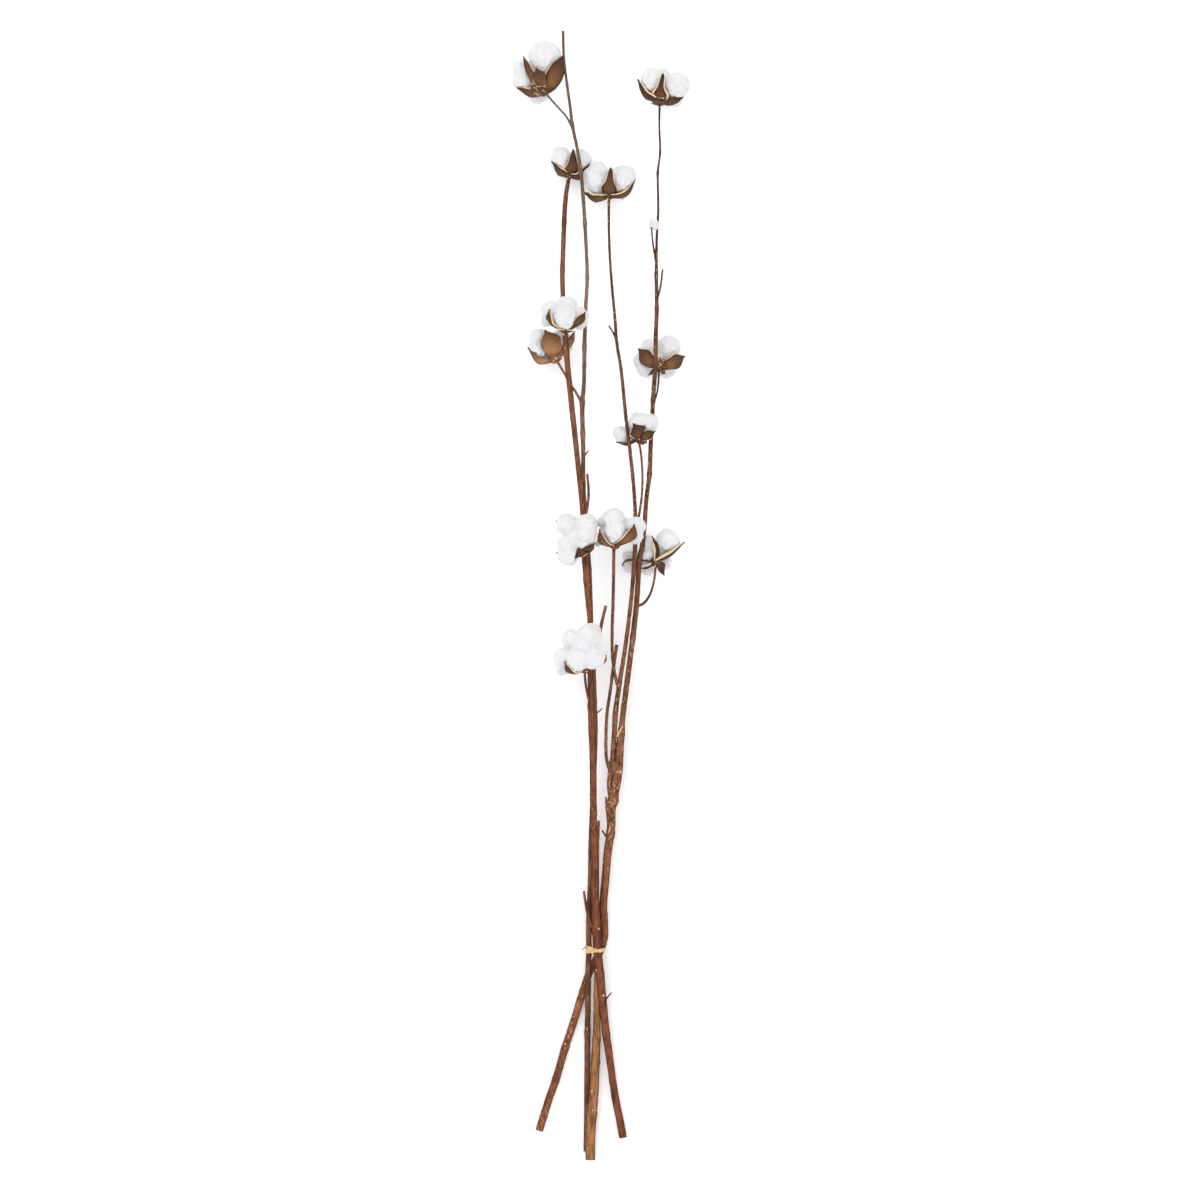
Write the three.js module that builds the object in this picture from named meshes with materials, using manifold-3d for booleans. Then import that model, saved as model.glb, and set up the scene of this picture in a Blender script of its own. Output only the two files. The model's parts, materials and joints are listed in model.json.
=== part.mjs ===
// Cotton stem bunch: four dried cotton stems, tied near their cut ends and laid flat on a surface.
// Units are millimetres. +Y runs from the cut ends to the top of the bunch, +X to its right,
// and +Z up from the surface that it lies on (z = 0).
import * as THREE from 'three';
import { mergeVertices } from 'three/addons/utils/BufferGeometryUtils.js';
import Module from 'manifold-3d';

// ---------------------------------------------------------------- driving dimensions

// The points below are laid out about the middle of the view from above.
// The origin is moved from there to the middle of the bunch's base.
const ORIGIN_X = -0.18;
const ORIGIN_Y = 3.77;

const GAP = 0.35; // between neighbouring pieces that touch

const STEM_SIDES = 8;
const STALK_SIDES = 6;
const STALK_RADIUS = 2.3; // thinner wood than this is a stalk
const RING_STEP = 30; // between the rings of a stem

const WALL = 1.3; // burr wall
const VALVE_CUP = 0.36; // how far a valve's edges turn in, of its half width
const VALVE_FOOT = 1.2; // height over the base at which a valve begins
const BEHIND_VALVE = 16; // depth behind a valve that holds no cotton
const CALYX_RADIUS = 6.2;
const CALYX_HEIGHT = 4.4;

const CORE_RADIUS = 9.5; // smaller lumps of cotton lie deep in the boll

const TIE_Y = -350; // middle of the raffia tie
const TIE_WIDTH = 5;
const TIE_THICKNESS = 0.9;
const TIE_SLACK = 0.4; // length of stem beyond the tie that it must also clear
const TIE_CORNERS = 14; // of the polygon that stands for each stem in the tie's outline
const TIE_SAMPLES = 600; // places along a stem at which the tie looks for it
const HOLE_EXTRA = 4; // how much longer than the tie the cutter of its hole is

const FLOOR_SIDE = 200; // block that stands for the space under the surface
const FLOOR_DEPTH = 100;

// ---------------------------------------------------------------- stems
// A path is a list of [x, y, z, radius] from the root end to the tip.

const STEMS = {
  stem_left_front: {
    colour: 0x7d4c3b,
    trunk: [
      [23, -539, 3.7, 3.9], [19.6, -520, 4.4, 3.8], [15.2, -498, 5.4, 3.6], [11, -469, 7.2, 3.6],
      [8.4, -450, 9, 3.8], [6, -434, 10.5, 3.9], [3.8, -412, 13.5, 4], [1.8, -392, 16.4, 4],
      [0.5, -378, 18.6, 4.1], [-1.2, -362, 20.6, 4.2], [-2.8, -348, 21, 4.3],
      [-3.7, -325, 21.4, 4.5], [-5, -295, 22.2, 4], [-5.5, -250, 23.8, 3.5],
      [-6.6, -212, 25.4, 3.5], [-7, -160, 27.8, 3.4], [-8.5, -125, 29.5, 3.3],
      [-9.3, -90, 31.5, 3.1], [-9.6, -50, 34, 3], [-9.8, -20, 35.7, 2.9], [-11.5, 0, 36.8, 3.2],
      [-14.5, 40, 39, 3.6], [-16, 65, 40.2, 3], [-17.4, 90, 41.3, 2.6], [-22.2, 138, 43, 2.3],
      [-28.9, 200, 44, 2.4], [-33.5, 247, 44.3, 2.6], [-36, 285, 43.4, 2.3],
      [-37.5, 320, 40.6, 2.2], [-36.8, 350, 37.3, 2.2], [-34.5, 400, 30.8, 2.1],
      [-32.4, 415, 27.4, 2], [-30.5, 424.2, 24, 1.9],
    ],
    branches: [
      { name: 'upper_boll_stalk', path: [[-34, 252, 45, 2], [-34.3, 259, 49, 2], [-34.5, 269, 54.9, 2]] },
      {
        name: 'middle_boll_stalk',
        path: [[-13.5, 30, 39, 2.4], [-12, 38, 43.5, 2.2], [-12.3, 45.2, 46.4, 2.1]],
      },
      {
        name: 'low_boll_stalk',
        path: [
          [-8.6, -108, 31, 1.6], [-11.5, -98, 34.4, 1.3], [-14, -86, 38.2, 1.2], [-15.3, -72.6, 41.2, 1.2],
        ],
      },
      {
        name: 'node_twig',
        path: [
          [-3, -331, 22, 1.8], [-8.6, -325.5, 25, 1.5], [-13, -311, 25.4, 1.4], [-16.2, -291, 25, 1.2],
        ],
      },
      {
        name: 'blunt_twig',
        path: [[-6, -58, 33, 1.8], [-2, -42, 34.4, 1.7], [1.5, -24, 35.4, 1.7], [5.8, -5.6, 36, 1.5]],
      },
      {
        name: 'loop_twig',
        path: [[-14, 86, 40.6, 1.5], [-12, 97, 40.2, 1.3], [-11.4, 110, 40, 1.3], [-12.8, 126, 40, 1.2]],
      },
      { name: 'thorn', path: [[-8.4, -114.5, 30, 1.1], [2.4, -108, 31, 0.6]] },
      { name: 'butt_thorn', path: [[4, -402, 13.4, 1], [11.4, -393, 15, 0.7]] },
    ],
  },
  stem_left_back: {
    colour: 0x7c6254,
    trunk: [
      [-13.8, -553, 2.7, 2.8], [-13.2, -515, 2.8, 2.8], [-12.8, -475, 4, 2.9], [-12.5, -434, 6.4, 3],
      [-12, -400, 9.8, 2.9], [-12, -380, 12, 2.9], [-11.6, -365, 13.4, 2.9], [-11, -350, 14.4, 2.8],
      [-11.2, -335, 15, 2.9], [-10.8, -310, 15.4, 2.9], [-9.5, -280, 15.6, 2.6], [-9.2, -250, 15.8, 2.6],
      [-7.2, -200, 17.2, 2.6], [-5.4, -155, 18.8, 2.6], [-4.8, -125, 20, 2.6], [-5.7, -100, 21.5, 2.5],
      [-6.4, -72, 23.3, 2.4], [-8.5, -35, 25.8, 2.3], [-9.6, 0, 28.2, 2.4], [-11, 30, 30.3, 2.5],
      [-13.2, 65, 32.3, 2.4], [-16.6, 115, 34.8, 2.2], [-16.7, 150, 36.3, 2.2], [-17.7, 197, 38.1, 2.4],
      [-16.1, 214, 38.8, 2], [-15.5, 252, 40.2, 2], [-14.2, 292, 41.3, 1.8], [-12.7, 322, 42.1, 1.8],
      [-13.7, 350, 42.8, 1.7], [-16.8, 402, 43.9, 1.8], [-19.2, 428, 44.2, 1.8], [-22.6, 450, 43.6, 1.5],
      [-27.6, 474, 42, 1.7], [-29.8, 492, 40.4, 1.4], [-32.8, 514, 38.4, 1.35], [-36.1, 542, 35.5, 1.3],
      [-36.9, 568.4, 32.5, 1.4],
    ],
    branches: [
      {
        name: 'top_boll_stalk',
        path: [
          [-27.8, 472, 42, 1.4], [-33, 481.5, 41.2, 1], [-43, 493, 39.8, 0.95], [-54.2, 505.6, 38.2, 1],
        ],
      },
      {
        name: 'ochre_boll_stalk',
        path: [
          [-17.6, 196, 38, 1.6], [-23, 205.5, 37, 1.3], [-30, 216.6, 35.2, 1.2], [-36, 227, 33.4, 1.2],
          [-43.6, 240, 29.4, 1.3],
        ],
      },
      { name: 'thorn', path: [[-15.5, 144, 36.2, 1.1], [-11.4, 149.4, 37, 0.6]] },
    ],
  },
  stem_right: {
    colour: 0x985a3e,
    trunk: [
      [-61, -532, 3.6, 3.8], [-52, -503, 3.8, 3.8], [-44, -480, 4.2, 3.8], [-35, -449, 4.2, 3.8],
      [-26.4, -423, 4.2, 3.8], [-19.5, -400, 4.2, 3.8], [-12, -377, 4.2, 3.7], [-6.7, -365, 4.2, 3.7],
      [-1.6, -356, 4.8, 3.7], [2.2, -347, 7, 3.8], [4.2, -336, 9, 4], [4.2, -323, 10.2, 4],
      [3.3, -305, 11.4, 4], [5.4, -280, 12.9, 4.1], [8, -250, 14.5, 4.2], [10.8, -233, 15.5, 4.3],
      [11.8, -207, 17.5, 4.3], [14, -195, 18.3, 4.7], [18, -172, 19.6, 4.7], [19.6, -150, 20.3, 4.2],
      [21.2, -134, 20.9, 3.6], [22.6, -118, 21.5, 2.9], [26, -90, 22.5, 2.8], [32.9, -37, 25, 2.8],
      [36.6, -2, 27.6, 2.7], [38.4, 26, 30, 2.6], [39.4, 40, 30.8, 2.6], [42, 54, 31.2, 2.4],
      [44.4, 75, 31, 2.3], [46.3, 100, 30.7, 2.2], [49.4, 125, 30.5, 2.3], [50.6, 154, 30.6, 2.2],
      [52, 180, 31.4, 2.2], [53, 200, 34.4, 2.2], [54.2, 218, 38.6, 2.2], [55.5, 233, 42.4, 2.2],
      [55.6, 260, 45.4, 2.2], [56.6, 290, 45, 2], [56.2, 325, 42.3, 1.8], [56.6, 360, 38.2, 1.6],
      [58.2, 390, 34.4, 1.5], [57.8, 427, 30.2, 1.4], [60.1, 448, 28.6, 1.35], [59.3, 473, 27.4, 1.3],
      [59.7, 498.4, 25.8, 1.3],
    ],
    branches: [
      {
        name: 'inner_fork',
        path: [
          [11.6, -199, 18, 3.2], [9.5, -186, 19.4, 2.5], [10.6, -170, 20.4, 2.7], [12.6, -156, 21.3, 2.4],
          [14.6, -128, 23.2, 2.6], [15.4, -113, 24.2, 2.8], [19.5, -84, 27, 2.3], [24.7, -51, 30.2, 2.1],
          [29.4, -15, 33.4, 2.1], [32.2, 12, 36, 2], [34, 35, 38.4, 2.3], [35.3, 65, 41.3, 2.2],
          [34.8, 95, 44.3, 1.8], [32.5, 125, 47.2, 1.8], [28.6, 160, 50.2, 1.8], [25.8, 182, 50.5, 1.8],
          [21, 230, 48.6, 1.6], [16.7, 257, 46.5, 1.6], [15, 280, 44.5, 1.5], [12.2, 310, 41, 1.4],
          [10, 340, 37.2, 1.3], [8.9, 370, 33.8, 1.3], [8.9, 403.4, 29.4, 1.3],
        ],
      },
      {
        name: 'thin_fork',
        path: [
          [10.4, -172, 20.3, 1.8], [6.7, -160, 21.8, 1.6], [5.9, -141, 23.6, 1.6], [7.2, -112, 26, 1.6],
          [10.4, -90, 27.2, 1.6], [13.6, -66, 27.8, 1.8], [16.7, -44.6, 28.6, 1.7],
        ],
      },
      {
        name: 'cup_boll_stalk',
        path: [
          [18.4, -88, 26.6, 2], [14.9, -74, 31, 1.5], [12.5, -57, 33.6, 1.5], [12.1, -32, 35.8, 1.6],
          [13.2, 6, 39.6, 1.6], [13.9, 53.2, 44.9, 1.6],
        ],
      },
      {
        name: 'small_boll_stalk',
        path: [
          [35.4, 70, 41.8, 1.5], [39.2, 86, 43.4, 1.2], [41.7, 104, 44.4, 1.1], [42.3, 125, 45.2, 1.1],
          [40.6, 148, 46.4, 1.1], [38.7, 158, 47.2, 1.1],
        ],
      },
      {
        name: 'low_right_stalk',
        path: [
          [36.8, -6, 27.4, 1.6], [43.5, -3.4, 28, 1.4], [49.4, 4.4, 29, 1.2], [53.6, 17, 30.4, 1.1],
          [55.8, 35.6, 32.2, 1.2],
        ],
      },
      {
        name: 'upper_right_stalk',
        path: [[52.8, 196, 33.6, 1.3], [57, 207, 33.4, 1], [58.4, 219, 33, 1], [58.9, 230.6, 32.6, 1.1]],
      },
      { name: 'grey_twig', path: [[56, 337, 41, 1.3], [53.4, 352, 40.4, 1], [51.2, 372, 39.6, 0.8]] },
      { name: 'side_twig', path: [[57, 300, 44.4, 1.3], [60.2, 312, 44.6, 1], [62.7, 330, 44.6, 0.9]] },
      { name: 'fork_twig', path: [[16.2, 260, 46.2, 1.2], [13.4, 266, 46.6, 1], [8.8, 273.4, 47, 0.8]] },
      { name: 'knuckle_scale', path: [[8.6, -222, 17, 1.6], [6.6, -206, 18.4, 1.5], [6, -197, 18.8, 1.1]] },
      { name: 'thorn', path: [[7, -238, 15.4, 1.2], [2, -230.6, 16, 0.8]] },
    ],
    knobs: [[12.2, -199, 18, 5.3], [23.6, -133, 21.2, 4]],
  },
  stem_short: {
    colour: 0xb57f55,
    trunk: [
      [-9.6, -561, 9.6, 4.8], [-9.6, -538, 9.5, 4.9], [-8, -515, 9.3, 5], [-6, -492, 9.2, 4.7],
      [-4.5, -463, 9.2, 4.4], [-3.3, -434, 9.6, 3.8], [-3.1, -412, 10, 3.5], [-2.6, -380, 11.3, 3.4],
      [-2.2, -358, 12.6, 3.3], [-3.4, -338, 12.6, 3.1], [-3.5, -315, 14.4, 2.6],
      [-3, -280, 15.5, 2.2], [-2.5, -250, 16, 1.7], [-1.2, -221, 18, 1.2],
    ],
    branches: [],
  },
};

// ---------------------------------------------------------------- bolls
// base: where the stalk meets the calyx. The rest is measured from it. Each lock is
// [x, y, z, radius, stretch], a prolate lump of cotton whose long axis runs away from the base.
// A valve's middle line runs from the calyx through its belly to its tip. half is its half width,
// and its shape goes from -1, blunt, over 0, oval, to 1, drawn out to a narrow point. No cotton
// lies behind a valve, or where it has a value for behind, within that distance behind it.

const BOLLS = [
  {
    name: 'top_left', burr: 0x5d3a27,
    base: [-54.5, 506, 38],
    locks: [
      [-0.8, 36.2, -4, 16.4, 1.02], [-24, 24, -8, 9.8, 1], [-23, 13.5, -8, 10.6, 1],
      [-8, 2.6, -27, 11.2, 1], [3, 20, -16, 12, 1.05], [-8, 20, -9, 10.5, 1], [-8, 11, -18, 10, 1],
    ],
    valves: [
      { tip: [-20.9, 36, 3], belly: [-14.5, 19, 8], half: 5.2, shape: 0.5 },
      { tip: [-9, 24, 10], belly: [-5.2, 13.5, 12], half: 5.2, shape: -0.8 },
      { tip: [16.6, 36.5, -2], belly: [9.8, 18.2, 8], half: 9.4, shape: 0 },
      { tip: [-27, 6.5, -6], belly: [-15.5, 0, 1], half: 5.6, shape: 0 },
      { tip: [6, 8, -25], belly: [2, 2, -15], half: 6, shape: 0.4, behind: 2 },
    ],
  },
  {
    name: 'top_right', burr: 0x54341f,
    base: [59.7, 497, 26],
    locks: [
      [-7.4, 23, 3, 11.6, 1.02], [1.3, 27, -4, 8.5, 1], [17.4, 17, 4, 13, 1.02], [-12, 11, -8, 8.6, 1],
      [13, 7, -11, 11, 1.05], [2, 18, -12, 12, 1],
    ],
    valves: [
      { tip: [3.4, 27.6, 16], belly: [0.6, 12, 16], half: 8.6, shape: 1 },
      { tip: [-20.3, 23.8, 3], belly: [-14.8, 7.6, 4.5], half: 8.6, shape: 0.3 },
      { tip: [22.5, 6.8, 0], belly: [13.6, 1.6, 3.5], half: 5.6, shape: 0.5 },
      { tip: [0, 9, -25], belly: [0, -1, -15], half: 7, shape: 0.4 },
    ],
  },
  {
    name: 'upper_left', burr: 0x6b4028,
    base: [-30.5, 423, 24],
    locks: [
      [-7.5, 19, 4, 9.6, 1.22], [10.5, 16.5, 2.5, 10.6, 1.1], [-7.5, 15, -13, 11.6, 1.15],
      [9, 16, -13, 11.4, 1.15], [1, 12, -5, 8, 1],
    ],
    valves: [
      { tip: [3.5, 26.7, 13.5], belly: [2.9, 11.5, 13.5], half: 7.2, shape: 0.75 },
      { tip: [-16.2, 16.2, 0], belly: [-10.4, 4.2, 2], half: 8.8, shape: 0.1 },
      { tip: [18.5, 14, -1], belly: [10.6, 0, 3.5], half: 7.4, shape: 0.2 },
      { tip: [1, 17, -22], belly: [0, 3, -15], half: 7.6, shape: 0.3 },
    ],
  },
  {
    name: 'upper_middle', burr: 0x6b4028,
    base: [9, 402, 29.4],
    locks: [
      [-13.6, 17.5, 3, 11.6, 1.3], [-10.5, 26, 1, 9.8, 1.05], [14.3, 18.8, 3, 11.4, 1.3],
      [-11.5, 18, -15, 13.4, 1.15], [11.5, 18, -16, 13.6, 1.15], [0, 12, -5, 9, 1],
      [10, 1, -11, 5.6, 1],
    ],
    valves: [
      { tip: [2, 28.6, 16], belly: [0.4, 12.6, 16], half: 8.8, shape: 1 },
      { tip: [-25, 7.5, -1], belly: [-14.4, -2, 2], half: 8.8, shape: 0.1 },
      { tip: [24.8, 19.8, 1], belly: [17.6, 2.6, 2.6], half: 9.6, shape: 0.1 },
      { tip: [0, 20, -27], belly: [0, 2, -19], half: 8, shape: 0.3 },
    ],
  },
  {
    name: 'left_upper_front', burr: 0x6d4129,
    base: [-34.5, 268, 54],
    locks: [
      [-0.5, 13, 13.5, 12, 1], [2, 24, 5, 10.5, 1], [-15, 20, 5, 9.6, 1], [-15, 11, 5, 10, 1],
      [14.8, 15, 5, 8.6, 1], [14, 9.5, 5.5, 8.4, 1], [0, 18, 4, 11, 1],
    ],
    valves: [
      { tip: [-14, 20.5, 18], belly: [-15.2, 7.5, 14], half: 6.5, shape: 0 },
      { tip: [18.6, 18, 16], belly: [13.4, 9, 15.5], half: 4.8, shape: -0.2 },
      { tip: [0.5, 1.8, 16], belly: [0, -1.4, 9], half: 7.5, shape: -0.6 },
      { tip: [-25, 21.5, -2], belly: [-10, 9, -9], half: 5, shape: 0.3 },
      { tip: [19, 20, -5], belly: [9, 9, -9], half: 5, shape: 0.3 },
    ],
  },
  {
    name: 'left_ochre', burr: 0xa2754b,
    base: [-43.5, 239, 30],
    locks: [
      [-18, 23, -1, 9.6, 1], [-18, 11.5, 0, 10.4, 1], [3.5, 21, -5, 10, 1], [7, 15, -14, 9, 1],
      [-14, 13, -19.4, 11.4, 1], [-5, 12, -8, 9, 1],
    ],
    valves: [
      { tip: [-11.5, 29.4, 10], belly: [-4, 16, 13.5], half: 9.8, shape: -0.6 },
      { tip: [-27, 14.6, -2], belly: [-18.5, -0.8, 2.5], half: 8.2, shape: 0 },
      { tip: [16.5, 28.6, -4], belly: [13.8, 18, 1], half: 4.2, shape: 0.2 },
      { tip: [-6, 16, -28], belly: [-3, 2, -20], half: 8, shape: 0.2 },
    ],
  },
  {
    name: 'right_upper_back', burr: 0x6f4a30,
    base: [59, 232.5, 33],
    locks: [
      [9.6, 20, -11, 12.2, 1], [-9, 18.5, -12, 10, 1], [-16, 7, -17, 9.6, 1], [-13.5, 0, -18, 9.5, 1],
      [8, 0, -23.5, 10.2, 1], [-2, 8, -12, 11, 1],
    ],
    valves: [
      { tip: [-19, 18.4, -3], belly: [-12.6, 8, 4], half: 7.8, shape: -0.7 },
      { tip: [24.3, 11.5, -5], belly: [15, 4.4, 3.5], half: 6.8, shape: -0.8 },
      { tip: [-9.6, -7.4, -6], belly: [-5, -3, -2], half: 2.6, shape: 0.4 },
      { tip: [4.5, -6, -8], belly: [4.4, -2.4, -3], half: 4.4, shape: -0.3 },
    ],
  },
  {
    name: 'right_small', burr: 0x5a3a26,
    base: [38.4, 160, 48.6],
    locks: [
      [0.6, 17, -1, 10.4, 1], [10.4, 16.4, -1, 9.8, 1], [-16.4, 4.8, -9, 8.6, 1.05], [1, 8, -9, 8, 1],
      [-6, 7, -9.5, 7, 1],
    ],
    valves: [
      { tip: [-5.5, 14.6, 8], belly: [0.5, 6.5, 12], half: 7.6, shape: -1 },
      { tip: [15.6, 7.8, 5], belly: [8.5, 3.8, 9.5], half: 4.8, shape: -0.5 },
      { tip: [-21, -1, -12], belly: [-12, -4.6, -5], half: 3.4, shape: 0.2 },
      { tip: [7, 2, -18], belly: [4, -4, -11], half: 5, shape: 0.3 },
    ],
  },
  {
    name: 'left_middle_front', burr: 0x6d4630,
    base: [-12.5, 47, 48],
    locks: [
      [-1.2, 28, 9, 11, 1], [-1.6, 18, 10.5, 10.6, 1], [-3, 11, 10, 8, 1], [-20.8, 28, 8, 10.8, 1],
      [-20, 7, 9, 10.6, 1], [-19.6, -2, 8, 10.6, 1], [-12, 16, 7, 10, 1],
    ],
    valves: [
      { tip: [-11.5, -5.6, 12], belly: [-4.6, 1.8, 14], half: 4.8, shape: 0.3 },
      { tip: [6.8, 9.4, 13], belly: [2.4, 3.4, 13.5], half: 4.4, shape: 0.1 },
      { tip: [-31.6, 31.8, -3], belly: [-15, 16, -8], half: 3.4, shape: 0.6 },
      { tip: [-31, -0.5, -3], belly: [-14, 2, -6], half: 3, shape: 0.6 },
      { tip: [-5, 33, -3], belly: [4, 18, -6], half: 5, shape: 0.4 },
    ],
  },
  {
    name: 'middle_front', burr: 0x7b5236,
    base: [13.9, 52, 44.6],
    locks: [
      [-0.2, 28.5, 7, 11.2, 1], [1.4, 17, 12, 10.4, 1], [1.2, 11.4, 10.5, 8, 1],
      [21.6, 21.6, 4, 9.6, 1], [20.4, 12.5, 3, 9.4, 1], [-10.5, 25, 0, 5.5, 1],
      [-15.5, 2.6, -7, 5.2, 1], [4, 14, 4, 9, 1], [-6, 14, 0, 8.5, 1], [-11, 10, -3, 6.5, 1],
      [11, 21, 0, 8.5, 1],
    ],
    valves: [
      { tip: [-13, 18.4, 15], belly: [-11.2, 5.2, 14], half: 5.4, shape: -0.1 },
      { tip: [18.8, 23, 16], belly: [16.4, 10, 16.5], half: 7.4, shape: -0.2, behind: 1.5 },
      { tip: [-12, 22, -6], belly: [-9, 10, -8], half: 5, shape: 0.4 },
      { tip: [18, 22, -7], belly: [12, 10, -8], half: 6, shape: 0.4 },
    ],
  },
  {
    name: 'right_low_back', burr: 0x4c2f22,
    base: [56, 37.5, 33],
    locks: [
      [12.6, 23.4, -5, 11, 1], [-7.4, 19, -8, 8, 1], [-7.4, 9, -9, 8, 1], [-8, -6, -17, 7.4, 1.1],
      [-25.5, 5, -20, 7.6, 1], [-26.5, -4, -20, 7, 1], [9, -1, -18, 7, 1], [-3, 5, -11.5, 9.6, 1],
      [4, 16, -10, 9, 1], [-15, 3, -18, 8, 1],
    ],
    valves: [
      { tip: [27.4, 21.4, -3], belly: [13.2, 4.2, -1], half: 8, shape: 0.1, behind: 2 },
      { tip: [-5, 25.2, 4], belly: [0.9, 13.6, 6], half: 3.6, shape: 0.1, behind: 2 },
      { tip: [-15.4, -4.6, -4], belly: [-9.4, -5, -2], half: 4.4, shape: -0.2, behind: 2 },
      { tip: [6.5, -12, -8], belly: [6, -4.5, 1], half: 4.8, shape: -0.3, behind: 2 },
      { tip: [-32, -3.2, -9], belly: [-26.5, 2.4, -10], half: 1.5, shape: 0.6 },
    ],
  },
  {
    name: 'left_low_front', burr: 0x6b4029,
    base: [-15.3, -70.4, 42.6],
    locks: [
      [5.4, 34.8, 9, 12.4, 1], [-13.4, 31.4, 7, 9.6, 1], [-21.4, 14, 8, 9.6, 1],
      [-21, 4.5, 7.6, 9.6, 1], [-5.6, 12.6, 13.5, 11.8, 1], [8.6, 12.6, 12.5, 11.6, 1],
      [13.8, 20, 7.5, 8, 1], [-5, 20, 6, 10, 1],
    ],
    valves: [
      { tip: [-18.4, 9.4, 16], belly: [-13.5, -2.4, 13], half: 4.8, shape: -0.2 },
      { tip: [20, 14.4, 10], belly: [15.6, 5, 10.5], half: 3.6, shape: 0.1 },
      { tip: [-18, 28, -2], belly: [-13, 14, -5], half: 6, shape: 0.4 },
      { tip: [12, 38, -2], belly: [10, 18, -5], half: 6, shape: 0.4 },
    ],
  },
];

const WISP = { at: [53.6, 374.6, 38.6], size: [4.6, 5.6, 3.4] }; // tuft caught on a twig

// ---------------------------------------------------------------- solids

const wasm = await Module();
wasm.setup();

/** A closed three.js geometry as a solid that can be joined and cut. */
function solidOf(geometry) {
  geometry.deleteAttribute('normal');
  geometry.deleteAttribute('uv');
  const merged = mergeVertices(geometry, 1e-4);
  return new wasm.Manifold(new wasm.Mesh({
    numProp: 3,
    vertProperties: new Float32Array(merged.attributes.position.array),
    triVerts: new Uint32Array(merged.index.array),
  }));
}

/** A solid back as a three.js geometry. */
function geometryOf(solid) {
  const mesh = solid.getMesh();
  const geometry = new THREE.BufferGeometry();
  geometry.setAttribute('position', new THREE.BufferAttribute(new Float32Array(mesh.vertProperties), 3));
  geometry.setIndex(new THREE.BufferAttribute(new Uint32Array(mesh.triVerts), 1));
  return geometry;
}

/** All solids of a list joined into one. */
function joined(solids) {
  return solids.reduce((whole, next) => whole.add(next));
}

/** A geometry from a list of points and a list of triangles. */
function facets(points, triangles) {
  const geometry = new THREE.BufferGeometry();
  const places = points.flatMap((point) => point.toArray());
  geometry.setAttribute('position', new THREE.Float32BufferAttribute(places, 3));
  geometry.setIndex(triangles.flat());
  return geometry;
}

function vector([x, y, z]) {
  return new THREE.Vector3(x, y, z);
}

// ---------------------------------------------------------------- stems

/** Centres, tangents and radii of the rings along a path. */
function ringsAlong(path) {
  const curve = new THREE.CatmullRomCurve3(path.map(vector), false, 'centripetal');
  const last = path.length - 1;
  const rings = [];
  for (let i = 0; i < last; i += 1) {
    const pieces = Math.max(1, Math.round(vector(path[i]).distanceTo(vector(path[i + 1])) / RING_STEP));
    for (let k = 0; k < pieces; k += 1) {
      const share = k / pieces;
      rings.push({ at: (i + share) / last, radius: THREE.MathUtils.lerp(path[i][3], path[i + 1][3], share) });
    }
  }
  rings.push({ at: 1, radius: path[last][3] });
  return rings.map(({ at, radius }) => (
    { centre: curve.getPoint(at), tangent: curve.getTangent(at), radius }
  ));
}

/** A closed, tapering piece of wood along a path, swollen by `extra` where a cutter needs clearance. */
function wood(path, extra = 0) {
  const sides = path[0][3] > STALK_RADIUS ? STEM_SIDES : STALK_SIDES;
  const rings = ringsAlong(path);
  const [first, last] = [rings[0], rings[rings.length - 1]];
  first.centre.addScaledVector(first.tangent, -extra);
  last.centre.addScaledVector(last.tangent, extra);
  const across = new THREE.Vector3(0, 0, 1).cross(first.tangent).normalize();
  const points = [];
  const triangles = [];
  rings.forEach(({ centre, tangent, radius }, k) => {
    across.addScaledVector(tangent, -across.dot(tangent)).normalize();
    const up = tangent.clone().cross(across);
    for (let j = 0; j < sides; j += 1) {
      const turn = (2 * Math.PI * (j + 0.5)) / sides;
      points.push(centre.clone()
        .addScaledVector(across, Math.cos(turn) * (radius + extra))
        .addScaledVector(up, Math.sin(turn) * (radius + extra)));
      const a = k * sides + j;
      const b = k * sides + ((j + 1) % sides);
      if (k + 1 < rings.length) {
        triangles.push([a, b, a + sides], [b, b + sides, a + sides]);
      }
    }
  });
  const top = (rings.length - 1) * sides;
  points.push(first.centre, last.centre);
  for (let j = 0; j < sides; j += 1) {
    const next = (j + 1) % sides;
    triangles.push([points.length - 2, next, j], [points.length - 1, top + j, top + next]);
  }
  return solidOf(facets(points, triangles));
}

/** A whole stem: its trunk, branches and knobs grown together. */
function stemSolid({ trunk, branches, knobs = [] }, extra = 0) {
  const parts = [wood(trunk, extra), ...branches.map(({ path }) => wood(path, extra))];
  knobs.forEach(([x, y, z, radius]) => {
    parts.push(solidOf(new THREE.IcosahedronGeometry(radius + extra, 1).translate(x, y, z)));
  });
  return joined(parts);
}

// ---------------------------------------------------------------- bolls

// Rows of a valve: how far along it, and its share of the half width where it is oval or drawn out.
const VALVE_ROWS = [[0, 0.5, 0.55], [0.32, 0.97, 0.99], [0.66, 0.9, 0.54], [1, 0.07, 0.07]];
const VALVE_COLUMNS = [-1, 0, 1];

/** The mean direction in which a boll's cotton grows from its base. */
function bollAxis({ locks }) {
  return locks.reduce((sum, lock) => sum.add(vector(lock)), new THREE.Vector3()).normalize();
}

/** The middle line of a valve: from the calyx through the belly to the tip. */
function valveSpine(valve, axis) {
  const start = axis.clone().multiplyScalar(VALVE_FOOT);
  const tip = vector(valve.tip);
  const belly = vector(valve.belly);
  const chord = start.clone().add(tip).multiplyScalar(0.5);
  const swell = belly.clone().multiplyScalar(2).sub(chord);
  return { spine: new THREE.QuadraticBezierCurve3(start, swell, tip), outward: belly.sub(chord) };
}

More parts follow.
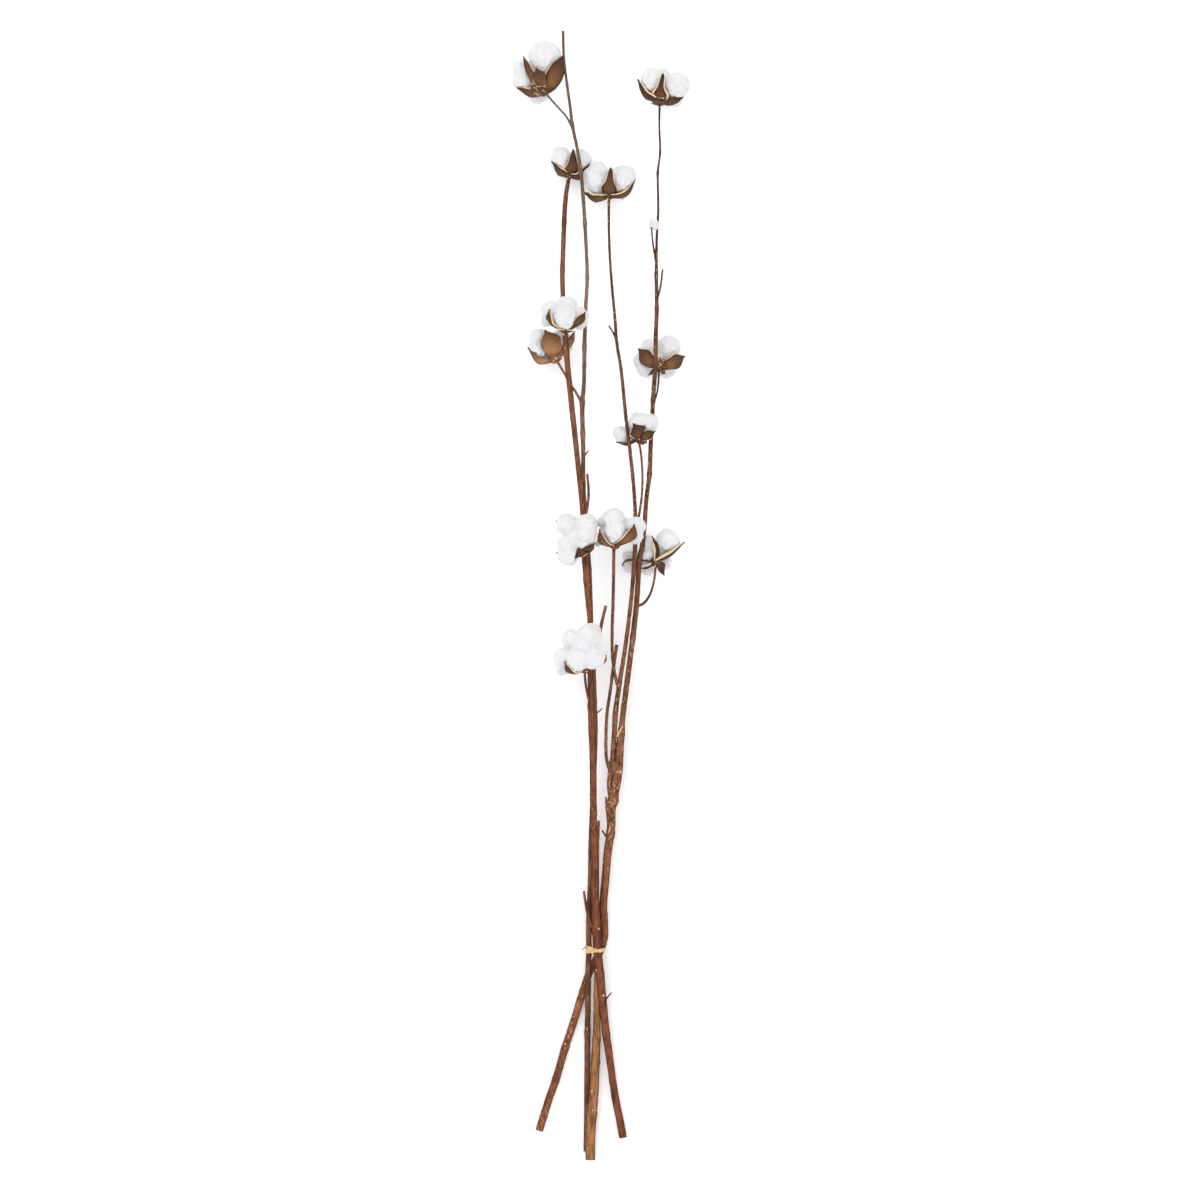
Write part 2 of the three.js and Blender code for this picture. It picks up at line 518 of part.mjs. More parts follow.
/** A valve as a cupped blade. `inside` and `outside` are its faces' distances from its middle sheet. */
function valveBlade(valve, axis, inside, outside, widen) {
  const { spine, outward } = valveSpine(valve, axis);
  const points = [];
  VALVE_ROWS.forEach(([along, oval, drawn]) => {
    const tangent = spine.getTangent(along);
    const side = tangent.clone().cross(outward).normalize();
    const normal = side.clone().cross(tangent).normalize();
    const half = valve.half * THREE.MathUtils.lerp(oval, drawn, valve.shape) + widen;
    const beyond = along === 0 ? -widen : Math.floor(along) * widen;
    [-inside, outside].forEach((offset) => {
      VALVE_COLUMNS.forEach((column) => {
        points.push(spine.getPoint(along)
          .addScaledVector(tangent, beyond)
          .addScaledVector(side, column * half)
          .addScaledVector(normal, offset - VALVE_CUP * half * column * column));
      });
    });
  });
  return solidOf(facets(points, bladeTriangles(VALVE_ROWS.length, VALVE_COLUMNS.length)));
}

/** Triangles of a slab whose rows each hold the inner face's points and then the outer face's. */
function bladeTriangles(rows, columns) {
  const triangles = [];
  const inner = (row, column) => row * columns * 2 + column;
  const outer = (row, column) => inner(row, column) + columns;
  const quad = (a, b, c, d) => triangles.push([a, c, b], [a, d, c]);
  for (let row = 0; row + 1 < rows; row += 1) {
    for (let column = 0; column + 1 < columns; column += 1) {
      quad(inner(row, column), inner(row, column + 1), inner(row + 1, column + 1), inner(row + 1, column));
      quad(outer(row, column), outer(row + 1, column), outer(row + 1, column + 1), outer(row, column + 1));
    }
    quad(inner(row, 0), inner(row + 1, 0), outer(row + 1, 0), outer(row, 0));
    const edge = columns - 1;
    quad(inner(row, edge), outer(row, edge), outer(row + 1, edge), inner(row + 1, edge));
  }
  for (let column = 0; column + 1 < columns; column += 1) {
    const last = rows - 1;
    quad(inner(0, column), outer(0, column), outer(0, column + 1), inner(0, column + 1));
    quad(inner(last, column), inner(last, column + 1), outer(last, column + 1), outer(last, column));
  }
  return triangles;
}

/** The flattened lump where the valves, the calyx and the stalk meet. */
function calyx(axis, extra = 0) {
  const radius = CALYX_RADIUS + extra;
  const height = CALYX_HEIGHT / 2 + extra;
  const turn = new THREE.Quaternion().setFromUnitVectors(new THREE.Vector3(0, 0, 1), axis);
  const geometry = new THREE.OctahedronGeometry(1, 1).scale(radius, radius, height);
  const middle = axis.clone().multiplyScalar(CALYX_HEIGHT / 2);
  return solidOf(geometry.applyQuaternion(turn).translate(middle.x, middle.y, middle.z));
}

/** The dried burr of a boll, about its base. */
function burrSolid(boll) {
  const axis = bollAxis(boll);
  const blades = boll.valves.map((valve) => valveBlade(valve, axis, WALL / 2, WALL / 2, 0));
  return joined([calyx(axis), ...blades]);
}

/** What the burr keeps the cotton out of: its walls and all that lies behind them. */
function burrShadow(boll) {
  const axis = bollAxis(boll);
  const blades = boll.valves.map((valve) => (
    valveBlade(valve, axis, WALL / 2 + GAP, valve.behind ?? BEHIND_VALVE, GAP)
  ));
  return joined([calyx(axis, GAP), ...blades]);
}

/** One lock of cotton, about its boll's base. */
function lockSolid([x, y, z, radius, stretch]) {
  const away = vector([x, y, z]).normalize();
  const turn = new THREE.Quaternion().setFromUnitVectors(new THREE.Vector3(0, 0, 1), away);
  const detail = radius > CORE_RADIUS ? 1 : 0;
  const geometry = new THREE.IcosahedronGeometry(radius, detail).scale(1, 1, stretch);
  return solidOf(geometry.applyQuaternion(turn).translate(x, y, z));
}

/** The cotton of a boll: its locks grown into each other, clear of the burr. */
function cottonSolid(boll) {
  return joined(boll.locks.map(lockSolid)).subtract(burrShadow(boll));
}

// ---------------------------------------------------------------- tie

/** The outline round a set of points, counter-clockwise. */
function outlineRound(points) {
  const sorted = [...points].sort((p, q) => p.x - q.x || p.y - q.y);
  const turn = (o, p, q) => (p.x - o.x) * (q.y - o.y) - (p.y - o.y) * (q.x - o.x);
  const half = (list) => {
    const chain = [];
    list.forEach((point) => {
      while (chain.length > 1 && turn(chain[chain.length - 2], chain[chain.length - 1], point) <= 0) {
        chain.pop();
      }
      chain.push(point);
    });
    return chain.slice(0, -1);
  };
  return [...half(sorted), ...half(sorted.reverse())];
}

/** The stems' outline where the tie holds them, seen along them and grown by `extra`. */
function bundleOutline(extra) {
  const points = [];
  Object.values(STEMS).forEach(({ trunk }) => {
    const curve = new THREE.CatmullRomCurve3(trunk.map(vector), false, 'centripetal');
    for (let k = 0; k <= TIE_SAMPLES; k += 1) {
      const centre = curve.getPoint(k / TIE_SAMPLES);
      if (Math.abs(centre.y - TIE_Y) > TIE_WIDTH / 2 + TIE_SLACK) continue;
      const away = (point) => Math.abs(point[1] - centre.y);
      const near = trunk.reduce((best, point) => (away(point) < away(best) ? point : best));
      for (let j = 0; j < TIE_CORNERS; j += 1) {
        const angle = (2 * Math.PI * j) / TIE_CORNERS;
        const reach = near[3] + extra;
        const [x, z] = [centre.x + reach * Math.cos(angle), centre.z + reach * Math.sin(angle)];
        points.push(new THREE.Vector2(x, z));
      }
    }
  });
  return outlineRound(points);
}

/** A flat plate of the tie's outline, standing across the stems. */
function tiePlate(outline, width) {
  const shape = new THREE.Shape(outline);
  const geometry = new THREE.ExtrudeGeometry(shape, { depth: width, bevelEnabled: false });
  return solidOf(geometry.rotateX(Math.PI / 2).translate(0, TIE_Y + width / 2, 0));
}

function tieSolid() {
  const hole = tiePlate(bundleOutline(GAP), TIE_WIDTH + HOLE_EXTRA);
  return tiePlate(bundleOutline(GAP + TIE_THICKNESS), TIE_WIDTH).subtract(hole);
}

// ---------------------------------------------------------------- assembly

/** A named piece with its own material. */
function piece(name, solid, colour, roughness) {
  const material = new THREE.MeshStandardMaterial({ color: colour, roughness, metalness: 0 });
  const mesh = new THREE.Mesh(geometryOf(solid), material);
  mesh.name = name;
  return mesh;
}

/** The space under the surface, which presses the lowest cotton flat. */
function underSurface(boll) {
  const block = new THREE.BoxGeometry(FLOOR_SIDE, FLOOR_SIDE, FLOOR_DEPTH);
  return solidOf(block.translate(0, 0, -FLOOR_DEPTH / 2 - boll.base[2]));
}

const bunch = new THREE.Group();
bunch.position.set(-ORIGIN_X, -ORIGIN_Y, 0);

Object.entries(STEMS).forEach(([name, stem]) => {
  bunch.add(piece(name, stemSolid(stem), stem.colour, 0.8));
});

const clearance = Object.values(STEMS).map((stem) => stemSolid(stem, GAP));

BOLLS.forEach((boll) => {
  const group = new THREE.Group();
  group.position.set(...boll.base);
  const floor = underSurface(boll);
  const back = boll.base.map((value) => -value);
  const wooden = joined(clearance.map((solid) => solid.translate(back)));
  const burr = burrSolid(boll).subtract(wooden).subtract(floor);
  group.add(piece(`burr_${boll.name}`, burr, boll.burr, 0.7));
  const cotton = cottonSolid(boll).subtract(wooden).subtract(floor);
  group.add(piece(`cotton_${boll.name}`, cotton, 0xf1f1f3, 1));
  bunch.add(group);
});

bunch.add(piece('raffia_tie', tieSolid(), 0xe6c99a, 0.8));

const tuft = solidOf(new THREE.IcosahedronGeometry(1, 1).scale(...WISP.size).translate(...WISP.at));
bunch.add(piece('cotton_tuft', tuft.subtract(joined(clearance)), 0xf1f1f3, 1));

export default bunch;
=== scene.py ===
import bisect
import json
import math
import random

import bpy
from bpy.props import FloatProperty, FloatVectorProperty, IntProperty, PointerProperty
from bpy.types import Operator, Panel, PropertyGroup
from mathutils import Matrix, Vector
from mathutils.bvhtree import BVHTree
from mathutils.kdtree import KDTree

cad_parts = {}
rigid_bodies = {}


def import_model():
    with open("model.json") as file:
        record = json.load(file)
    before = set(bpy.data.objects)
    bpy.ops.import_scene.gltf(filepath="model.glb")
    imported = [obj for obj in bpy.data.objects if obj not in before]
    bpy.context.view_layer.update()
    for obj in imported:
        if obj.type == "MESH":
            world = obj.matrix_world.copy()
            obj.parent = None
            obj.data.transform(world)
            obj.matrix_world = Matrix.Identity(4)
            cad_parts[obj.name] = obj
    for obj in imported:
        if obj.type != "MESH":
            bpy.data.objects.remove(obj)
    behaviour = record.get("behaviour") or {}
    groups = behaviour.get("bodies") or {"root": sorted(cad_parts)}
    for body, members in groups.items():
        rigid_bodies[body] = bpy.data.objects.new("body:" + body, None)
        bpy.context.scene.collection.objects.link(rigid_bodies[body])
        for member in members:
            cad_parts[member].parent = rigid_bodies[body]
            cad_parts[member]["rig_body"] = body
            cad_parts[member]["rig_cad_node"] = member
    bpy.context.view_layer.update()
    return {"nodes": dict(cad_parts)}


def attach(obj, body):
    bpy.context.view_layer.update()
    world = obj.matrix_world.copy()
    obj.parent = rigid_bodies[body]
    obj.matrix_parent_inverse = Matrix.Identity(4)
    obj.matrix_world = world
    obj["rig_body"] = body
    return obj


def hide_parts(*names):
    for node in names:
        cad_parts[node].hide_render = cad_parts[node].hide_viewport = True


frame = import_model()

bl_info = {
    "name": "Cotton Stem Bunch",
    "version": (1, 0, 0),
    "blender": (4, 5, 0),
    "location": "View3D > Sidebar > Cotton Bunch",
    "description": "Builds a bunch of dried cotton stems with open bolls, laid on a pale surface",
    "category": "Add Mesh",
}

BODY = "root"
MM = 0.001

# ------------------------------------------------------------------ layout
# The tables are in millimetres, about the middle of the view from above: +Y towards the top
# bolls, +Z up from the surface. The origin lies at the middle of the bunch's own box.

ORIGIN_X = -0.18
ORIGIN_Y = 3.77

VIEW_SIZE = 1200 * MM  # side of the square that the camera sees
VIEW_LEVEL = 25 * MM  # height at which that square is measured

# A path is a list of (x, y, z, radius) from the root end to the tip. A node is (y, extra radius): a
# swelling of the trunk. A scar of a leaf, or a pit, is (y, turn, size), and it lies on the trunk,
# turned round it by so many degrees: 0 faces +X, 90 up. A pit is a small lens painted dark, as painted
# shade of a hollow in the bark. A splinter of torn wood is a path.
STEM_LEFT_FRONT = {
    "trunk": [
        (23, -539, 3.7, 3.9), (19.6, -520, 4.4, 3.8), (15.2, -498, 5.4, 3.6), (11, -469, 7.2, 3.6),
        (8.4, -450, 9, 3.8), (6, -434, 10.5, 3.9), (3.8, -412, 13.5, 4), (1.8, -392, 16.4, 4),
        (0.5, -378, 18.6, 4.1), (-1.2, -362, 20.6, 4.2), (-2.8, -348, 21, 4.3),
        (-3.7, -325, 21.4, 4.5), (-5, -295, 22.2, 4), (-5.5, -250, 23.8, 3.5),
        (-6.6, -212, 25.4, 3.5), (-7, -160, 27.8, 3.4), (-8.5, -125, 29.5, 3.3),
        (-9.3, -90, 31.5, 3.1), (-9.6, -50, 34, 3), (-9.8, -20, 35.7, 2.9), (-11.5, 0, 36.8, 3.2),
        (-14.5, 40, 39, 3.6), (-16, 65, 40.2, 3), (-17.4, 90, 41.3, 2.6), (-22.2, 138, 43, 2.7),
        (-28.9, 200, 44, 2.9), (-33.5, 247, 44.3, 2.8), (-36, 285, 43.4, 2.4),
        (-37.5, 320, 40.6, 2.4), (-36.8, 350, 37.3, 2.4), (-34.5, 400, 30.8, 2.4),
        (-32.4, 415, 27.4, 2), (-30.5, 424.2, 24, 1.9),
    ],
    "branches": [
        [(-34, 252, 45, 2), (-34.3, 259, 49, 2), (-34.5, 269, 54.9, 2)],
        [(-13.5, 30, 39, 2.4), (-12, 38, 43.5, 2.2), (-12.3, 45.2, 46.4, 2.1)],
        [
            (-8.6, -108, 31, 1.6), (-11.5, -98, 34.4, 1.3), (-14, -86, 38.2, 1.2),
            (-15.3, -72.6, 41.2, 1.2),
        ],
        [(-3, -331, 22, 1.8), (-8.6, -325.5, 25, 1.5), (-13, -311, 25.4, 1.4), (-16.2, -291, 25, 1.2)],
        [(-6, -58, 33, 1.8), (-2, -42, 34.4, 1.7), (1.5, -24, 35.4, 1.7), (5.8, -5.6, 36, 1.5)],
        [(-14, 86, 40.6, 1.5), (-12, 97, 40.2, 1.3), (-11.4, 110, 40, 1.3), (-12.8, 126, 40, 1.2)],
        [(-8.4, -114.5, 30, 1.1), (-1.5, -111.8, 30.6, 0.8), (2.4, -108, 31, 0.6)],
        [(4, -402, 13.4, 1), (11.4, -393, 15, 0.7)],
        [(-2.8, -236, 25, 1.3), (-2, -229, 26, 1.3), (-1.4, -224, 26.4, 1), (-1.2, -220.6, 26.6, 0.8)],
    ],
    "nodes": [
        (-331, 0.5), (-374, 0.5), (-212, 0.5), (-106, 0.6), (-434, 0.4), (20, 0.5), (247, 0.5),
        (-498, 0.3), (330, 0.3), (378, 0.3),
    ],
    "scars": [
        (-329, 60, 2.2), (-212.3, 88, 1.3), (-214.8, 70, 0.8), (-395, 70, 1.6), (-104, 80, 1.5),
        (-372, 150, 1.8),
        (16, 40, 1.3), (249, 110, 1.2),
    ],
    "pits": [(-214.2, 92, 1), (-214.6, 130, 0.8), (-327, 85, 1), (-106.5, 100, 0.9)],
}
STEM_LEFT_BACK = {
    "trunk": [
        (-13.8, -553, 2.7, 2.8), (-13.2, -515, 2.8, 2.8), (-12.8, -475, 4, 2.9), (-12.5, -434, 6.4, 3),
        (-12, -400, 9.8, 2.9), (-12, -380, 12, 2.9), (-11.6, -365, 13.4, 2.9), (-11, -350, 14.4, 2.8),
        (-11.2, -335, 15, 2.9), (-10.8, -310, 15.4, 2.9), (-9.5, -280, 15.6, 2.6),
        (-9.2, -250, 15.8, 2.6),
        (-7.2, -200, 17.2, 2.6), (-5.4, -155, 18.8, 2.6), (-4.8, -125, 20, 2.6),
        (-5.7, -100, 21.5, 2.5),
        (-6.4, -72, 23.3, 2.4), (-8.5, -35, 25.8, 2.3), (-9.6, 0, 28.2, 2.4), (-11, 30, 30.3, 2.5),
        (-13.2, 65, 32.3, 2.4), (-16.6, 115, 34.8, 2.2), (-16.7, 150, 36.3, 2.2),
        (-17.7, 197, 38.1, 2.4),
        (-16.1, 214, 38.8, 2), (-15.5, 252, 40.2, 2), (-14.2, 292, 41.3, 1.8), (-12.7, 322, 42.1, 1.8),
        (-13.7, 350, 42.8, 1.7), (-16.8, 402, 43.9, 1.8), (-19.2, 428, 44.2, 1.8),
        (-22.6, 450, 43.6, 1.5),
        (-27.6, 474, 42, 1.7), (-29.8, 492, 40.4, 1.4), (-32.8, 514, 38.4, 1.35),
        (-36.1, 542, 35.5, 1.3),
        (-36.9, 568.4, 32.5, 1.4),
    ],
    "branches": [
        [
            (-27.8, 472, 42, 1.4), (-33, 481.5, 41.2, 1), (-43, 493, 39.8, 0.95),
            (-54.2, 505.6, 38.2, 0.95),
        ],
        [
            (-17.6, 196, 38, 1.6), (-23, 205.5, 37, 1.3), (-30, 216.6, 35.2, 1.2),
            (-36, 227, 33.4, 1.2), (-43.6, 240, 29.4, 1.3),
        ],
        [(-15.5, 144, 36.2, 1.1), (-11.4, 149.4, 37, 0.6)],
    ],
    "nodes": [
        (-434, 0.4), (-280, 0.3), (-100, 0.4), (30, 0.3), (115, 0.4), (166, 0.5), (197, 0.5),
        (252, 0.5), (322, 0.3), (376, 0.6), (428, 0.5), (474, 0.4), (514, 0.3),
    ],
    "scars": [
        (168, 170, 1.3), (254, 20, 1.2), (376, 170, 1.4), (30, 80, 1.2), (-432, 100, 1.3), (430, 60, 1),
    ],
    "pits": [(166, 90, 0.8), (28, 100, 0.8), (-436, 90, 0.9)],
}
STEM_RIGHT = {
    "trunk": [
        (-61, -532, 3.6, 3.8), (-52, -503, 3.8, 3.8), (-44, -480, 4.2, 3.8), (-35, -449, 4.2, 3.8),
        (-26.4, -423, 4.2, 3.8), (-19.5, -400, 4.2, 3.8), (-12, -377, 4.2, 3.7), (-6.7, -365, 4.2, 3.7),
        (-1.6, -356, 4.8, 3.7), (2.2, -347, 7, 3.8), (4.2, -336, 9, 4), (4.2, -323, 10.2, 4),
        (3.3, -305, 11.4, 4), (5.4, -280, 12.9, 4.1), (8, -250, 14.5, 4.2), (10.8, -233, 15.5, 4.3),
        (11.8, -207, 17.5, 4.3), (14, -195, 18.3, 4.7), (18, -172, 19.6, 4.7), (19.6, -150, 20.3, 4.2),
        (21.2, -134, 20.9, 3.6), (22.6, -118, 21.5, 2.9), (26, -90, 22.5, 2.8), (32.9, -37, 25, 2.8),
        (36.6, -2, 27.6, 2.7), (38.4, 26, 30, 2.6), (39.4, 40, 30.8, 2.6), (42, 54, 31.2, 2.4),
        (44.4, 75, 31, 2.3), (46.3, 100, 30.7, 2.2), (49.4, 125, 30.5, 2.3), (50.6, 154, 30.6, 2.2),
        (52, 180, 31.4, 2.2), (53, 200, 34.4, 2.2), (54.2, 218, 38.6, 2.2), (55.5, 233, 42.4, 2.2),
        (55.6, 260, 45.4, 2.2), (56.6, 290, 45, 2), (56.2, 325, 42.3, 1.8), (56.6, 360, 38.2, 1.3),
        (58.2, 390, 34.4, 1.2), (57.8, 427, 30.2, 1.05), (60.1, 448, 28.6, 1.05), (59.3, 473, 27.4, 1),
        (59.7, 498.4, 25.8, 1),
    ],
    "branches": [
        [
            (11.6, -199, 18, 3.2), (9.5, -186, 19.4, 2.5), (10.6, -170, 20.4, 2.7),
            (12.6, -156, 21.3, 2.4),
            (14.6, -128, 23.2, 2.6), (15.4, -113, 24.2, 2.8), (19.5, -84, 27, 2.3),
            (24.7, -51, 30.2, 2.1),
            (29.4, -15, 33.4, 2.1), (32.2, 12, 36, 2), (34, 35, 38.4, 2.3), (35.3, 65, 41.3, 2.2),
            (34.8, 95, 44.3, 1.8), (32.5, 125, 47.2, 1.8), (28.6, 160, 50.2, 1.8),
            (25.8, 182, 50.5, 1.8),
            (21, 230, 48.6, 1.6), (16.7, 257, 46.5, 1.6), (15, 280, 44.5, 1.5), (12.2, 310, 41, 1.4),
            (10, 340, 37.2, 1.3), (8.9, 370, 33.8, 1.3), (8.9, 403.4, 29.4, 1.3),
        ],
        [
            (10.4, -172, 20.3, 1.8), (6.7, -160, 21.8, 1.6), (5.9, -141, 23.6, 1.6),
            (7.2, -112, 26, 1.6),
            (10.4, -90, 27.2, 1.6), (13.6, -66, 27.8, 1.8), (16.7, -44.6, 28.6, 1.7),
        ],
        [
            (18.4, -88, 26.6, 2), (14.9, -74, 31, 1.5), (12.5, -57, 33.6, 1.5), (12.1, -32, 35.8, 1.6),
            (13.2, 6, 39.6, 1.6), (13.9, 53.2, 44.9, 1.6),
        ],
        [
            (35.4, 70, 41.8, 1.5), (39.2, 86, 43.4, 1.2), (41.7, 104, 44.4, 1.1),
            (42.3, 125, 45.2, 1.1),
            (40.6, 148, 46.4, 1.1), (38.7, 158, 47.2, 1.1),
        ],
        [
            (36.8, -6, 27.4, 1.6), (43.5, -3.4, 28, 1.4), (49.4, 4.4, 29, 1.2), (53.6, 17, 30.4, 1.1),
            (55.8, 35.6, 32.2, 1.2),
        ],
        [(52.8, 196, 33.6, 1.3), (57, 207, 33.4, 1), (58.4, 219, 33, 1), (58.9, 230.6, 32.6, 1.1)],
        [(56, 337, 41, 1.3), (53.4, 352, 40.4, 1), (51.2, 372, 39.6, 0.8)],
        [(57, 300, 44.4, 1.3), (60.2, 312, 44.6, 1), (62.7, 330, 44.6, 0.9)],
        [(16.2, 260, 46.2, 1.2), (13.4, 266, 46.6, 1), (8.8, 273.4, 47, 0.8)],
        [(8.6, -222, 17, 1.6), (6.6, -206, 18.4, 1.5), (6, -197, 18.8, 1.1)],
        [(7, -238, 15.4, 1.2), (2, -230.6, 16, 0.8)],
        [
            (15.4, -207, 17.6, 0.9), (16.4, -203.4, 18.2, 2.3), (16.4, -196, 18.8, 2.5),
            (16.2, -186, 19.2, 2.3),
        ],
    ],
    "nodes": [
        (-449, 0.4), (-480, 0.3), (-336, 0.3), (-233, 0.4), (-199, 1), (-134, 0.7), (-37, 0.4),
        (40, 0.5), (125, 0.5), (200, 0.4), (290, 0.4), (325, 0.4), (427, 0.5), (448, 0.3),
    ],
    "splinters": [
        [(17.4, -136.5, 23.6, 1.5), (19.6, -131.4, 25, 1.1), (22.9, -125.7, 24.6, 0.5)],
        [(9, -232, 19.6, 0.9), (10.4, -226, 20.2, 0.4)],
    ],
    "scars": [
        (-203, 88, 1.9), (-204.6, 60, 1.5), (-203, 120, 1.1), (-235, 120, 1.8), (-172, 60, 1.8),
        (40, 60, 1.5),
        (125, 30, 1.4), (290, 80, 1.1), (427, 160, 1.1), (-447, 110, 1.6),
    ],
    "pits": [(-201.6, 100, 1.1), (-206, 75, 0.9), (-237, 95, 0.9), (38, 80, 0.8), (-449, 90, 0.9)],
}
STEM_SHORT = {
    "trunk": [
        (-9.6, -561, 9.6, 4.8), (-9.6, -538, 9.5, 4.9), (-8, -515, 9.3, 5), (-6, -492, 9.2, 4.7),
        (-4.5, -463, 9.2, 4.4), (-3.3, -434, 9.6, 3.8), (-3.1, -412, 10, 3.5), (-2.6, -380, 11.3, 3.4),
        (-2.2, -358, 12.6, 3.3), (-3.4, -338, 12.6, 3.1), (-3.5, -315, 14.4, 2.6),
        (-3, -280, 15.5, 2.2), (-2.5, -250, 16, 1.7), (-1.2, -221, 18, 1.2),
    ],
    "branches": [],
    "nodes": [(-515, 0.6), (-463, 0.5), (-441, 0.4), (-395, 0.4)],
    "scars": [
        (-510.4, 80, 1.8), (-511.5, 45, 1.6), (-513, 120, 1.3), (-461, 20, 2), (-441, 95, 1.8),
        (-493, 120, 1.6),
    ],
    "pits": [
        (-508, 82, 1), (-515, 114, 1.3), (-516, 52, 1.3), (-517, 84, 1.1), (-523, 102, 1),
        (-525, 50, 1),
        (-544.6, 76, 0.8), (-549, 82, 1), (-443, 95, 1), (-463, 60, 1), (-479, 110, 0.8),
    ],
}

STEMS = (STEM_LEFT_FRONT, STEM_LEFT_BACK, STEM_RIGHT, STEM_SHORT)
